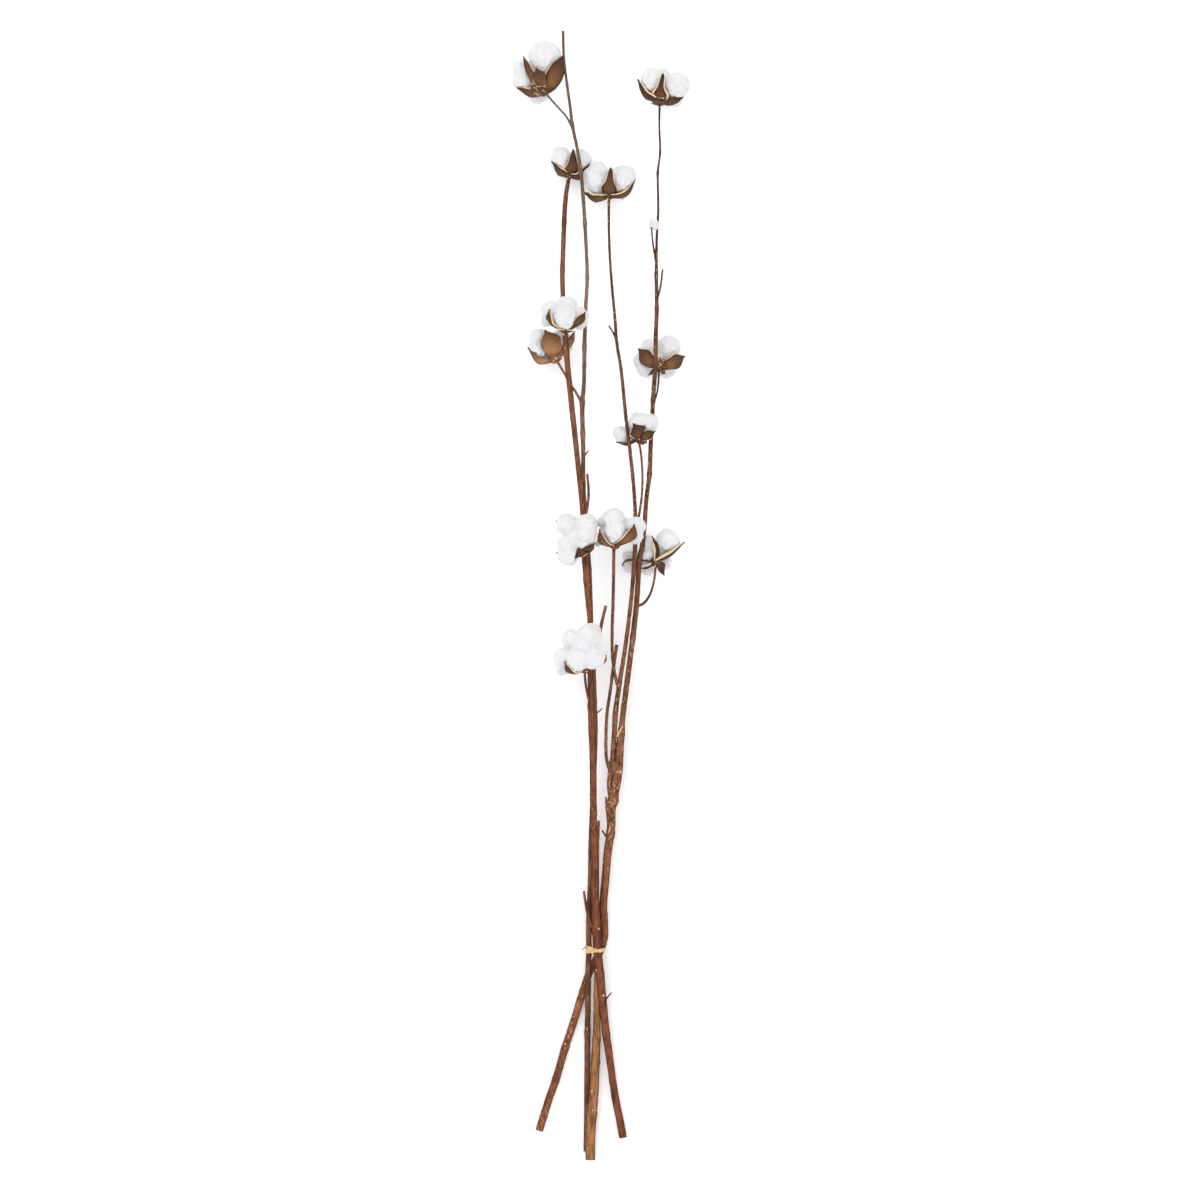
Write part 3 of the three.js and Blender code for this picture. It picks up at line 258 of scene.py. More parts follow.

# base is where the stalk meets the calyx, and the rest is measured from it. tone is how pale the
# husk is. A lock is (x, y, z, radius): a ball of cotton. Some have a fifth value, which draws them out
# away from the base. A valve is (tip, belly, half width, shape): its middle line runs from the calyx
# through the belly to the tip, and its shape goes from -1, blunt, over 0, oval, to 1 and more, drawn
# out to a narrow point. Some have a fifth value: above 0 it widens their pale margin, and below 0 it
# leaves the margin out and paints shade on the edge and the inside of a valve that lies in shade. A
# crumple is (x, y, z, radius, count): the dry leaflets that lie folded round the foot of the burr.
BOLLS = {
    "top_left": {
        "base": (-54.5, 506, 38), "tone": 0.4,
        "locks": [
            (-0.8, 36.2, -4, 16.4, 1.02), (-24, 24, -8, 9.8), (-23, 13.5, -8, 10.6),
            (-8, 2.6, -27, 11.2), (-8, 11, -18, 10), (3, 20, -16, 12, 1.05), (-8, 20, -9, 10.5),
        ],
        "valves": [
            ((-20.9, 36, 3), (-14.5, 19, 8), 5.2, 0.5),
            ((-9, 24, 10), (-5.2, 13.5, 12), 5.2, -0.8, -0.3),
            ((16.6, 36.5, -2), (9.8, 18.2, 8), 9.4, 0), ((-27, 6.5, -6), (-15.5, 0, 1), 5.6, 0),
            ((4, 12, -26), (1, 5, -16), 5, 0.4),
        ],
        "crumple": (-7.5, 6, 8, 8.8, 62),
    },
    "top_right": {
        "base": (59.7, 497, 26), "tone": 0.22,
        "locks": [
            (-7.4, 23, 3, 11.6, 1.02), (1.3, 27, -4, 8.5), (17.4, 17, 4, 13, 1.02), (-10, 11, -8, 7.5),
            (13, 7, -11, 11, 1.05), (2, 18, -12, 12),
        ],
        "valves": [
            ((3.4, 27.6, 16), (0.6, 12, 16), 8.8, 1.4, 0.16),
            ((-20.3, 23.8, 3), (-14.8, 7.6, 4.5), 8.6, 0.3, 0.12),
            ((22.5, 6.8, 0), (13.6, 1.6, 3.5), 5.6, 0.5, -0.3), ((0, 9, -25), (0, -1, -15), 7, 0.4),
            ((-7, -1.4, 6), (-3.4, 2.4, 7), 1.7, 0, -0.3), ((6.4, -2.8, 6), (4, 1.4, 7), 2, -0.2, -0.3),
        ],
        "crumple": (1, 4.5, 9, 5.4, 24),
    },
    "upper_left": {
        "base": (-30.5, 423, 24), "tone": 0.34,
        "locks": [
            (-7.5, 19, 4, 9.6, 1.22), (10.5, 16.5, 2.5, 10.6, 1.1), (-7.5, 15, -13, 11.6, 1.15),
            (9, 16, -13, 11.4, 1.15), (1, 12, -5, 8),
        ],
        "valves": [
            ((3.5, 26.7, 13.5), (2.9, 11.5, 13.5), 7.2, 0.75),
            ((-16.2, 16.2, 0), (-10.4, 4.2, 2), 8.8, 0.1), ((18.5, 14, -1), (10.6, 0, 3.5), 7.4, 0.2),
            ((1, 17, -22), (0, 3, -15), 7.6, 0.3),
        ],
        "crumple": (0, 1, 3, 4, 8),
    },
    "upper_middle": {
        "base": (9, 402, 29.4), "tone": 0.36,
        "locks": [
            (-13.6, 17.5, 3, 11.6, 1.3), (-10.5, 26, 1, 9.8, 1.05), (14.3, 18.8, 3, 11.4, 1.3),
            (-11.5, 18, -15, 13.4, 1.15), (11.5, 18, -16, 13.6, 1.15), (0, 12, -5, 9),
            (10, 1, -11, 5.6),
        ],
        "valves": [
            ((2, 28.6, 16), (0.4, 12.6, 16), 8.8, 1.3), ((-25, 7.5, -1), (-14.4, -2, 2), 8.8, 0.1),
            ((24.8, 19.8, 1), (17.6, 2.6, 2.6), 9.6, 0.1), ((0, 20, -27), (0, 2, -19), 8, 0.3),
        ],
        "crumple": (0.5, 2, 4, 4.5, 10),
    },
    "left_upper_front": {
        "base": (-34.5, 268, 54), "tone": 0.4,
        "locks": [
            (-0.5, 13, 13.5, 12), (2, 24, 5, 10.5), (-15, 20, 5, 9.6), (-15, 11, 5, 10),
            (14.8, 15, 5, 8.6), (14, 9.5, 5.5, 8.4), (0, 18, 4, 11),
        ],
        "valves": [
            ((-14, 20.5, 18), (-15.2, 7.5, 14), 6.5, 0, 0.14),
            ((18.6, 18, 16), (13.4, 9, 15.5), 4.8, -0.2),
            ((0.5, 1.8, 16), (0, -1.4, 9), 7.5, -0.6, 0.1), ((-25, 21.5, -2), (-10, 9, -9), 5, 0.3),
            ((19, 20, -5), (9, 9, -9), 5, 0.3),
        ],
        "crumple": (0, -0.5, 1, 4, 8),
    },
    "left_ochre": {
        "base": (-43.5, 239, 30), "tone": 0.86,
        "locks": [
            (-18, 23, -1, 9.6), (-18, 11.5, 0, 10.4), (3.5, 21, -5, 10), (7, 15, -14, 9),
            (-14, 13, -19.4, 11.4), (-5, 12, -8, 9),
        ],
        "valves": [
            ((-11.5, 29.4, 10), (-4, 16, 13.5), 9.8, -0.6, -0.3),
            ((-27, 14.6, -2), (-18.5, -0.8, 2.5), 8.2, 0, -0.3),
            ((16.5, 28.6, -4), (13.8, 18, 1), 4.2, 0.2, -0.3), ((-6, 16, -28), (-3, 2, -20), 8, 0.2),
        ],
        "crumple": (-1, 2.5, 6, 5.5, 14),
    },
    "right_upper_back": {
        "base": (59, 232.5, 33), "tone": 0.44,
        "locks": [
            (9.6, 20, -11, 12.2), (-9, 18.5, -12, 10), (-16, 7, -17, 9.6), (-13.5, 0, -18, 9.5),
            (8, 0, -23.5, 10.2), (-2, 8, -12, 11),
        ],
        "valves": [
            ((-19, 18.4, -3), (-12.6, 8, 4), 7.8, -0.7), ((24.3, 11.5, -5), (15, 4.4, 3.5), 6.8, -0.8),
            ((-9.6, -7.4, -6), (-5, -3, -2), 2.6, 0.4, -0.3),
            ((4.5, -6, -8), (4.4, -2.4, -3), 4.4, -0.3, -0.3),
        ],
        "crumple": (1, 3.5, 4, 6, 20),
    },
    "right_small": {
        "base": (38.4, 160, 48.6), "tone": 0.3,
        "locks": [
            (0.6, 17, -1, 10.4), (10.4, 16.4, -1, 9.8), (-16.4, 4.8, -9, 8.6, 1.05), (1, 8, -9, 8),
            (-6, 7, -9.5, 7),
        ],
        "valves": [
            ((-5.5, 14.6, 8), (0.5, 6.5, 12), 7.6, -1), ((15.6, 7.8, 5), (8.5, 3.8, 9.5), 4.8, -0.5),
            ((-21, -1, -12), (-12, -4.6, -5), 3.4, 0.2, -0.2),
            ((7, 2, -18), (4, -4, -11), 5, 0.3, -0.3),
        ],
        "crumple": (0, 0.5, 3, 3.6, 6),
    },
    "left_middle_front": {
        "base": (-12.5, 47, 48), "tone": 0.36,
        "locks": [
            (-1.2, 28, 9, 11), (-1.6, 18, 10.5, 10.6), (-3, 11, 10, 8), (-20.8, 28, 8, 10.8),
            (-20, 7, 9, 10.6), (-19.6, -2, 8, 10.6), (-12, 16, 7, 10),
        ],
        "valves": [
            ((-11.5, -5.6, 12), (-4.6, 1.8, 14), 4.8, -0.6),
            ((6.8, 9.2, 13), (2.6, 4.2, 14), 3.3, -0.2, -0.3),
            ((-1.5, 6.5, 15), (-0.8, 3, 14.6), 4.2, -0.6, -0.3),
            ((-31.6, 31.8, -3), (-15, 16, -8), 3.4, 0.6, -0.3),
            ((-31, -0.5, -3), (-14, 2, -6), 3, 0.6, -0.3), ((-5, 33, -3), (4, 18, -6), 5, 0.4),
        ],
        "crumple": (0, 0, 2, 3, 2),
    },
    "middle_front": {
        "base": (13.9, 52, 44.6), "tone": 0.6,
        "locks": [
            (-0.2, 28.5, 7, 11.2), (1.4, 17, 12, 10.4), (1.2, 11.4, 10.5, 8), (21.6, 21.6, 4, 9.6),
            (20.4, 12.5, 0.5, 9.4), (-10.5, 25, 0, 5.5), (-15.5, 2.6, -7, 5.2), (4, 14, 4, 9),
            (-6, 14, 0, 8.5), (-11, 10, -3, 6.5), (11, 21, 0, 8.5),
        ],
        "valves": [
            ((-13, 18.4, 15), (-11.2, 5.2, 14), 5.4, -0.1),
            ((18.8, 23, 16), (16.4, 10, 16.5), 7.4, -0.2), ((-12, 22, -6), (-9, 10, -8), 5, 0.4),
            ((18, 22, -7), (12, 10, -8), 6, 0.4),
        ],
        "crumple": (1, 0, 3, 3.4, 4),
    },
    "right_low_back": {
        "base": (56, 37.5, 33), "tone": 0.14,
        "locks": [
            (12.4, 22.3, -5, 11.6), (-7.4, 19, -8, 8), (-7.6, 7.5, -8, 8.6), (-8, -6, -17, 7.4, 1.1),
            (-25.5, 5, -20, 7.6), (-26.5, -4, -20, 7), (9, -1, -18, 7), (-3, 5, -11.5, 9.6),
            (4, 16, -10, 9), (-15, 3, -18, 8),
        ],
        "valves": [
            ((27.4, 21.4, -3), (15.6, 8, -1), 8, 0.1, 0.3),
            ((-5, 25.2, 4), (0.9, 13.6, 6), 3.6, 0.1, 0.15),
            ((-15.4, -4.6, -4), (-9.4, -5, -2), 4.4, -0.2, 0.35),
            ((6.5, -12, -8), (6, -4.5, 1), 4.8, -0.3, -0.3),
            ((-32, -3.2, -9), (-26.5, 2.4, -10), 1.5, 0.6, -0.3),
        ],
        "crumple": (1, 0, 2, 4.5, 10),
    },
    "left_low_front": {
        "base": (-15.3, -70.4, 42.6), "tone": 0.42,
        "locks": [
            (5.4, 34.8, 9, 12.4), (-13.4, 31.4, 7, 9.6), (-21.4, 14, 8, 9.6), (-21, 4.5, 7.6, 9.6),
            (-6.5, 11.8, 13.5, 12), (8.6, 12.6, 12.5, 11.6), (13.8, 20, 7.5, 8), (-5, 20, 6, 10),
            (-2, 24, 10, 10),
        ],
        "valves": [
            ((-18.4, 9.4, 16), (-13.5, -2.4, 13), 4.8, -0.2), ((20, 14.4, 10), (17.6, 7, 9), 3.2, 0.1),
            ((-18, 28, -2), (-13, 14, -5), 6, 0.4), ((12, 38, -2), (10, 18, -5), 6, 0.4),
        ],
        "crumple": (0, -0.5, 2, 4, 7),
    },
}

# the loose end of the tie
RAFFIA_END = [
    (-13.4, -347, 17.4, 0.5), (-15, -347.8, 18.4, 0.45), (-16.4, -348.6, 18.8, 0.4),
    (-17.3, -349.5, 18.6, 0.55), (-17.1, -350.4, 18.2, 0.45),
]

SEED = 7
FLOOR_GAP = 0.1 * MM  # how far wood, husks and cotton stay above the surface


# ------------------------------------------------------------------ settings

def colour(name, description, value):
    """A colour property with a swatch."""
    words = {"name": name, "description": description}
    return FloatVectorProperty(**words, default=value, size=3, subtype="COLOR", min=0, max=1)


def metres(name, description, value):
    """A property with a length."""
    return FloatProperty(name=name, description=description, default=value, unit="LENGTH")


def amount(name, description, value):
    """A property without a unit."""
    return FloatProperty(name=name, description=description, default=value)


class BarkSettings(PropertyGroup):
    """Sizes and colours of the stems."""
    dark: colour("Dark bark", "Foot of the stem at the front", (0.18, 0.057, 0.028))
    dark_top: colour("Dark bark, top", "Upper part of the same stem", (0.2, 0.08, 0.044))
    grey: colour("Grey bark", "Foot of the slim stem behind it", (0.17, 0.068, 0.038))
    grey_top: colour("Grey bark, top", "Upper part of the same stem", (0.22, 0.134, 0.09))
    orange: colour("Orange bark", "Foot of the forked stem at the right", (0.22, 0.078, 0.034))
    orange_top: colour("Orange bark, top", "Upper part of the same stem", (0.115, 0.05, 0.03))
    tan: colour("Tan bark", "Bark of the short stem", (0.31, 0.137, 0.054))
    tan_top: colour("Tan bark, top", "Upper part of the same stem", (0.23, 0.095, 0.042))
    speck: colour("Specks", "Pale pores in the bark", (0.74, 0.48, 0.31))
    scar: colour("Scars", "Old leaf scars and torn ends", (0.7, 0.45, 0.27))
    cut: colour("Cut wood", "Wood where the stems were cut", (0.6, 0.38, 0.2))
    depth: metres("Bark depth", "How uneven the bark is", 0.5 * MM)
    ring: metres("Ring distance", "Distance between the rings of a stem", 2.6 * MM)


class HuskSettings(PropertyGroup):
    """Sizes and colours of the dried burrs."""
    dark: colour("Dark husk", "Outside of the darkest burrs", (0.07, 0.029, 0.015))
    ochre: colour("Ochre husk", "Outside of the palest burr", (0.46, 0.22, 0.09))
    inner: colour("Inner husk", "Inside of the burrs", (0.66, 0.45, 0.26))
    rim: colour("Rim", "Edges of the valves", (0.86, 0.64, 0.4))
    wall: metres("Wall", "Thickness of a valve", 1.4 * MM)


class LintSettings(PropertyGroup):
    """Sizes and colours of the cotton."""
    white: colour("Cotton", "Clean cotton", (0.725, 0.725, 0.745))
    shade: colour("Stained cotton", "Cotton stained by its burr", (0.73, 0.7, 0.68))
    grain: metres("Grain", "Size of the mesh that the cotton is smoothed on", 0.9 * MM)
    fibres: IntProperty(name="Fibres", description="Loose fibres on each boll", default=2400, min=0)
    fibre_length: metres("Fibre length", "Longest common fibre", 3.6 * MM)


class TieSettings(PropertyGroup):
    """Sizes and colours of the raffia tie."""
    straw: colour("Raffia", "Dry raffia", (0.68, 0.43, 0.2))
    strands: IntProperty(name="Strands", description="Turns of raffia round the stems", default=4, min=1)
    middle: metres("Middle", "Where along the stems the tie sits", -350.4 * MM)


class StageSettings(PropertyGroup):
    """The surface, the light and the camera."""
    floor: colour("Surface", "Pale surface that the bunch lies on", (0.98, 0.98, 0.98))
    glow: amount("Glow", "How far the surface is lit from within, as on a light table", 0.1)
    height: metres("Camera height", "Height of the camera over the surface", 8.0)
    horizon: amount("Horizon", "Brightness of the room at its walls", 0.64)
    zenith: amount("Zenith", "Brightness of the room overhead", 1.52)
    key: amount("Key light", "Strength of the soft light from above", 0.4)


# ------------------------------------------------------------------ small tools

def placed(point):
    """A layout point in metres, about the origin of the bunch."""
    return Vector(((point[0] - ORIGIN_X) * MM, (point[1] - ORIGIN_Y) * MM, point[2] * MM))


def deselect():
    """Nothing selected, in object mode."""
    if bpy.context.object and bpy.context.object.mode != "OBJECT":
        bpy.ops.object.mode_set(mode="OBJECT")
    bpy.ops.object.select_all(action="DESELECT")


def pick(*objects):
    """Selects these objects and makes the first one active."""
    deselect()
    for thing in objects:
        thing.select_set(True)
    bpy.context.view_layer.objects.active = objects[0]


def settle(thing):
    """Moves an object's place into its mesh."""
    pick(thing)
    bpy.ops.object.transform_apply(location=True, rotation=True, scale=True)


def apply_modifiers(thing):
    """Applies all of an object's modifiers."""
    pick(thing)
    for modifier in list(thing.modifiers):
        bpy.ops.object.modifier_apply(modifier=modifier.name)


def join(name, things):
    """Joins objects into one."""
    pick(*things)
    if len(things) > 1:
        bpy.ops.object.join()
    whole = bpy.context.object
    whole.name = name
    whole.data.name = name
    return whole


def from_points(name, points, faces):
    """A mesh object from lists of points and faces."""
    mesh = bpy.data.meshes.new(name)
    mesh.from_pydata(points, [], faces)
    mesh.update()
    thing = bpy.data.objects.new(name, mesh)
    bpy.context.collection.objects.link(thing)
    return thing


def grid_faces(first, rows, columns, closed=False):
    """Faces between rows of points, from point number first on. Closed rows are rings."""
    faces = []
    for start in range(first, first + (rows - 1) * columns, columns):
        for j in range(columns if closed else columns - 1):
            a, b = start + j, start + (j + 1) % columns
            faces.append((a, b, b + columns, a + columns))
    return faces


def copy_of(thing):
    """A copy of an object with a mesh of its own."""
    copy = thing.copy()
    copy.data = thing.data.copy()
    bpy.context.collection.objects.link(copy)
    return copy


def edit_all(thing):
    """Opens a mesh for editing with all of it selected."""
    pick(thing)
    bpy.ops.object.mode_set(mode="EDIT")
    bpy.ops.mesh.select_all(action="SELECT")


def keep_up(thing):
    """Lifts what hangs into the surface that the bunch lies on."""
    for vertex in thing.data.vertices:
        vertex.co.z = max(vertex.co.z, FLOOR_GAP)


def clouds(name, size, depth=2):
    """A soft noise for displacing a surface."""
    texture = bpy.data.textures.new(name, "CLOUDS")
    texture.noise_scale = size
    texture.noise_depth = depth
    return texture


def displace(thing, texture, strength, middle=0.5):
    """Pushes a surface in and out along its normals."""
    modifier = thing.modifiers.new("uneven", "DISPLACE")
    modifier.texture = texture
    modifier.texture_coords = "LOCAL"
    modifier.strength = strength
    modifier.mid_level = middle


def smooth_out(thing, factor, rounds):
    """Evens out a surface."""
    modifier = thing.modifiers.new("smooth", "SMOOTH")
    modifier.factor = factor
    modifier.iterations = rounds


def thicken(thing, thickness):
    """Gives a sheet a thickness and rounds its edges."""
    wall = thing.modifiers.new("wall", "SOLIDIFY")
    wall.thickness = thickness
    wall.offset = 0
    soft = thing.modifiers.new("soft", "SUBSURF")
    soft.levels = 1
    soft.render_levels = 1
    return wall


def paint(thing, name, values):
    """Stores a value for each vertex of a mesh."""
    layer = thing.data.attributes.new(name, "FLOAT", "POINT")
    layer.data.foreach_set("value", values)


def paint_all(thing, name, value):
    """Stores the same value for every vertex of a mesh."""
    paint(thing, name, [value] * len(thing.data.vertices))


def give(thing, *materials):
    """Sets an object's material slots."""
    thing.data.materials.clear()
    for material in materials:
        thing.data.materials.append(material)


def hand_over(piece, node):
    """Hides the frame piece that a finished piece stands for, and makes the piece move with the bunch's
    body.
    """
    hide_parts(node)
    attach(piece, BODY)


def along(path, step):
    """Points and radii, in millimetres, on the smooth curve through a path."""
    knots = [Vector(p[:3]) for p in path]
    knots = [2 * knots[0] - knots[1], *knots, 2 * knots[-1] - knots[-2]]
    found = []
    for i in range(len(path) - 1):
        p0, p1, p2, p3 = knots[i:i + 4]
        d0, d1, d2 = (max((b - a).length, 1e-4) ** 0.5 for a, b in ((p0, p1), (p1, p2), (p2, p3)))
        start = ((p1 - p0) / d0 - (p2 - p0) / (d0 + d1) + (p2 - p1) / d1) * d1
        end = ((p2 - p1) / d1 - (p3 - p1) / (d1 + d2) + (p3 - p2) / d2) * d1
        pieces = max(1, round((p2 - p1).length / step))
        for k in range(pieces):
            t = k / pieces
            point = (
                p1 * (2 * t ** 3 - 3 * t ** 2 + 1) + start * (t ** 3 - 2 * t ** 2 + t)
                + p2 * (3 * t ** 2 - 2 * t ** 3) + end * (t ** 3 - t ** 2)
            )
            found.append((point, path[i][3] + (path[i + 1][3] - path[i][3]) * t))
    found.append((Vector(path[-1][:3]), path[-1][3]))
    return found


def nearest(path, y, step):
    """The point and the radius of a path at y, as near as samples that far apart allow."""
    return min(along(path, step), key=lambda sample: abs(sample[0].y - y))


def extra(row, default):
    """The fifth value of a row of a table, where it has one."""
    return row[4] if len(row) > 4 else default


def any_way(chance):
    """A random vector."""
    return Vector((chance.gauss(0, 1), chance.gauss(0, 1), chance.gauss(0, 1)))


# ------------------------------------------------------------------ materials

def add_node(tree, kind, wires=None, values=None, **settings):
    """A node with its settings, values of its inputs, and wires into them."""
    made = tree.nodes.new(kind)
    for name, value in settings.items():
        setattr(made, name, value)
    for name, value in (values or {}).items():
        made.inputs[name].default_value = value
    for name, socket in (wires or {}).items():
        tree.links.new(socket, made.inputs[name])
    return made


class Finish:
    """A material whose nodes are added one at a time."""

    def __init__(self, name, roughness, specular=0.3):
        self.material = bpy.data.materials.new(name)
        self.material.use_nodes = True
        self.tree = self.material.node_tree
        self.shader = self.tree.nodes["Principled BSDF"]
        self.shader.inputs["Roughness"].default_value = roughness
        self.shader.inputs["Specular IOR Level"].default_value = specular

    def node(self, kind, wires=None, values=None, **settings):
        """A node of this material."""
        return add_node(self.tree, kind, wires, values, **settings)

    def place(self, scale=(1, 1, 1)):
        """The object's own coordinates, stretched."""
        where = self.node("ShaderNodeTexCoord").outputs["Object"]
        made = self.node("ShaderNodeMapping", {"Vector": where}, {"Scale": scale})
        return made.outputs["Vector"]

    def noise(self, scale, stretch=(1, 1, 1), detail=5.0, distortion=0.0):
        """Noise whose lumps are 1/scale metres across."""
        wires = {"Vector": self.place(stretch)}
        values = {"Scale": scale, "Detail": detail, "Distortion": distortion}
        return self.node("ShaderNodeTexNoise", wires, values).outputs["Fac"]

    def ramp(self, factor, *stops):
        """Colours by position along a factor."""
        made = self.node("ShaderNodeValToRGB", {"Fac": factor})
        line = made.color_ramp
        while len(line.elements) < len(stops):
            line.elements.new(0.5)
        for element, (position, shade) in zip(line.elements, stops):
            element.position = position
            element.color = (*shade, 1)
        return made.outputs["Color"]

    def mix(self, factor, first, second):
        """A blend of two colours. Each is a socket or a colour, the factor a socket or a number."""
        made = self.tree.nodes.new("ShaderNodeMix")
        made.data_type = "RGBA"
        for socket, value in ((made.inputs[0], factor), (made.inputs[6], first), (made.inputs[7], second)):
            if isinstance(value, bpy.types.NodeSocket):
                self.tree.links.new(value, socket)
            elif isinstance(value, (int, float)):
                socket.default_value = value
            else:
                socket.default_value = (*value, 1)
        return made.outputs[2]

    def maths(self, operation, first, second=0.5):
        """One step of arithmetic on sockets or numbers."""
        made = self.node("ShaderNodeMath", operation=operation)
        for socket, value in zip(made.inputs, (first, second)):
            if isinstance(value, bpy.types.NodeSocket):
                self.tree.links.new(value, socket)
            else:
                socket.default_value = value
        return made.outputs[0]

    def steps(self, factor, low, high):
        """A factor that rises from 0 to 1 between two values."""
        made = self.node("ShaderNodeMapRange", {"Value": factor}, {"From Min": low, "From Max": high})
        return made.outputs["Result"]

    def times(self, first, second):
        """A product of sockets or numbers."""
        return self.maths("MULTIPLY", first, second)

    def plus(self, first, second):
        """A sum of sockets or numbers."""
        return self.maths("ADD", first, second)

    def swing(self, factor, reach):
        """A noise as a small value above and below 0."""
        return self.times(self.maths("SUBTRACT", factor, 0.5), reach)

    def veil(self, skin, shade, factor, low, high, strength=1.0):
        """Another colour laid over the skin, from none of it at low to its full strength at high."""
        share = self.times(self.steps(factor, low, high), strength)
        return self.mix(share, skin, shade)

    def mask(self, name):
        """A value painted on the mesh."""
        return self.node("ShaderNodeAttribute", attribute_name=name).outputs["Fac"]

    def finish(self, base, height=None, depth=0.3 * MM):
        """Sets the colour, and the bumps if there are any."""
        self.tree.links.new(base, self.shader.inputs["Base Color"])
        if height is not None:
            bump = self.node("ShaderNodeBump", {"Height": height}, {"Distance": depth, "Strength": 0.9})
            self.tree.links.new(bump.outputs["Normal"], self.shader.inputs["Normal"])
        return self.material


def scaled(shade, factor):
    """A colour made darker or lighter."""
    return tuple(min(1, max(0, channel * factor)) for channel in shade)


def between(first, second, share):
    """A colour part of the way from one to another."""
    return tuple(a + (b - a) * share for a, b in zip(first, second))


def bark_finish(name, low, high, settings, specks):
    """Dry bark in two colours, for the foot and the top: lengthwise streaks, mottling and pale pores.
    The flanks and the thin top are painted darker, as painted shade of soft light from above."""
    made = Finish(name, roughness=0.75, specular=0.1)
    where = made.node("ShaderNodeSeparateXYZ", {"Vector": made.place()}).outputs["Y"]
    climb = made.steps(where, -0.3, 0.35)
    streaks = made.noise(scale=1000, stretch=(1, 0.09, 1), detail=7)
    mottle = made.noise(scale=150, stretch=(1, 0.35, 1), detail=6)
    flakes = made.noise(scale=640, stretch=(1, 0.45, 1), detail=4, distortion=0.6)
    crowd = made.swing(made.noise(scale=16, detail=2), 0.35)
    deep = made.mix(climb, scaled(low, 0.4), scaled(high, 0.42))
    light = made.mix(climb, scaled(low, 1.45), scaled(high, 1.5))
    flank_shade = made.mix(climb, scaled(low, 0.2), scaled(high, 0.24))
    skin = made.mix(climb, low, high)
    skin = made.veil(skin, deep, streaks, 0.5, 0.32)
    skin = made.veil(skin, light, streaks, 0.52, 0.7)
    skin = made.veil(skin, deep, mottle, 0.5, 0.36, 0.75)
    skin = made.veil(skin, light, mottle, 0.52, 0.66, 0.7)
    # painted shade on the thin top of the stems
    skin = made.veil(skin, deep, where, 0.3, 0.46, 0.6)
    # painted shade on the flanks, from the side mask
    skin = made.veil(skin, flank_shade, made.mask("side"), 0.2, 0.75, 0.85)
    level = 0.72 - 0.18 * specks
    spots = made.steps(made.plus(flakes, crowd), level, level + 0.1)
    skin = made.mix(made.times(spots, 0.7), skin, settings.speck)
    skin = made.mix(made.mask("scar"), skin, settings.scar)
    # pits: painted dark, as painted shade of a hollow
    skin = made.mix(made.mask("pit"), skin, scaled(low, 0.2))
    ridges = made.plus(streaks, made.plus(made.times(spots, 0.5), mottle))
    return made.finish(skin, ridges, 0.6 * MM)


def cut_finish(settings):
    """Pale wood where a stem was cut."""
    made = Finish("cut_wood", roughness=0.8)
    grain = made.noise(scale=1200, stretch=(1, 0.3, 1), detail=4)
    stops = (0.3, scaled(settings.cut, 0.55)), (0.7, scaled(settings.cut, 1.25))
    return made.finish(made.ramp(grain, *stops), grain)


def husk_finish(name, base, settings):
    """The outside of a dried burr: finely mottled, and dark in patches towards the tip and beside its
    pale rims, with painted shade at the foot and on the flanks."""
    made = Finish(name, roughness=0.6, specular=0.15)
    wide = made.noise(scale=95, detail=5)
    fine = made.noise(scale=850, detail=8)
    deep = scaled(base, 0.2)
    patch = made.ramp(wide, (0.34, scaled(base, 0.45)), (0.5, base), (0.68, scaled(base, 1.8)))
    grain = made.ramp(fine, (0.3, scaled(base, 0.35)), (0.5, base), (0.72, scaled(base, 1.7)))
    rise = made.mask("rise")
    rim = made.mask("rim")
    skin = made.mix(0.5, patch, grain)
    # painted shade at the foot of the valves, by the calyx
    skin = made.veil(skin, deep, rise, 0.3, 0.06, 0.6)
    skin = made.veil(skin, deep, made.plus(rise, made.swing(wide, 0.9)), 0.4, 0.8, 0.68)
    beside = made.times(made.steps(rim, 0.45, 0.8), made.steps(rim, 0.92, 0.82))
    skin = made.mix(made.times(beside, 0.75), skin, deep)
    # painted shade on the flanks, that face sideways
    skin = made.veil(skin, deep, made.mask("side"), 0.4, 0.95, 0.6)
    margin = between(base, settings.rim, 0.85)
    skin = made.veil(skin, margin, made.plus(rim, made.swing(wide, 0.2)), 0.84, 0.92)
    skin = made.veil(skin, deep, rise, 0.9, 0.97)
    return made.finish(skin, made.plus(fine, wide), 0.7 * MM)


def rim_finish(name, base):
    """The pale inside and edge of a burr, dark at the tip, with painted shade where it lies in shade."""
    made = Finish(name, roughness=0.6, specular=0.3)
    fine = made.noise(scale=600, detail=6)
    wide = made.noise(scale=130, detail=4)
    grain = made.ramp(fine, (0.3, scaled(base, 0.55)), (0.6, base))
    patch = made.ramp(wide, (0.35, scaled(base, 0.65)), (0.65, scaled(base, 1.1)))
    skin = made.mix(0.5, grain, patch)
    # painted shade where the valve lies in shade, from the shade mask
    skin = made.mix(made.mask("shade"), skin, scaled(base, 0.16))
    skin = made.veil(skin, scaled(base, 0.12), made.mask("rise"), 0.92, 0.98)
    return made.finish(skin, fine, 0.3 * MM)


def lint_finish(settings):
    """Raw cotton: soft white fibre with faint stains."""
    made = Finish("raw_cotton", roughness=1.0, specular=0.05)
    softness = {
        "Sheen Weight": 0.15, "Sheen Roughness": 0.6,
        "Subsurface Weight": 0.3, "Subsurface Radius": (1, 1, 1), "Subsurface Scale": 4 * MM,
    }
    for name, value in softness.items():
        made.shader.inputs[name].default_value = value
    wide = made.noise(scale=70, detail=3)
    tangle = made.noise(scale=900, detail=9, distortion=1.5)
    fluff = made.noise(scale=260, detail=6, distortion=0.6)
    skin = made.mix(made.steps(wide, 0.5, 0.8), settings.white, settings.shade)
    return made.finish(skin, made.plus(made.times(tangle, 0.6), fluff), 0.7 * MM)


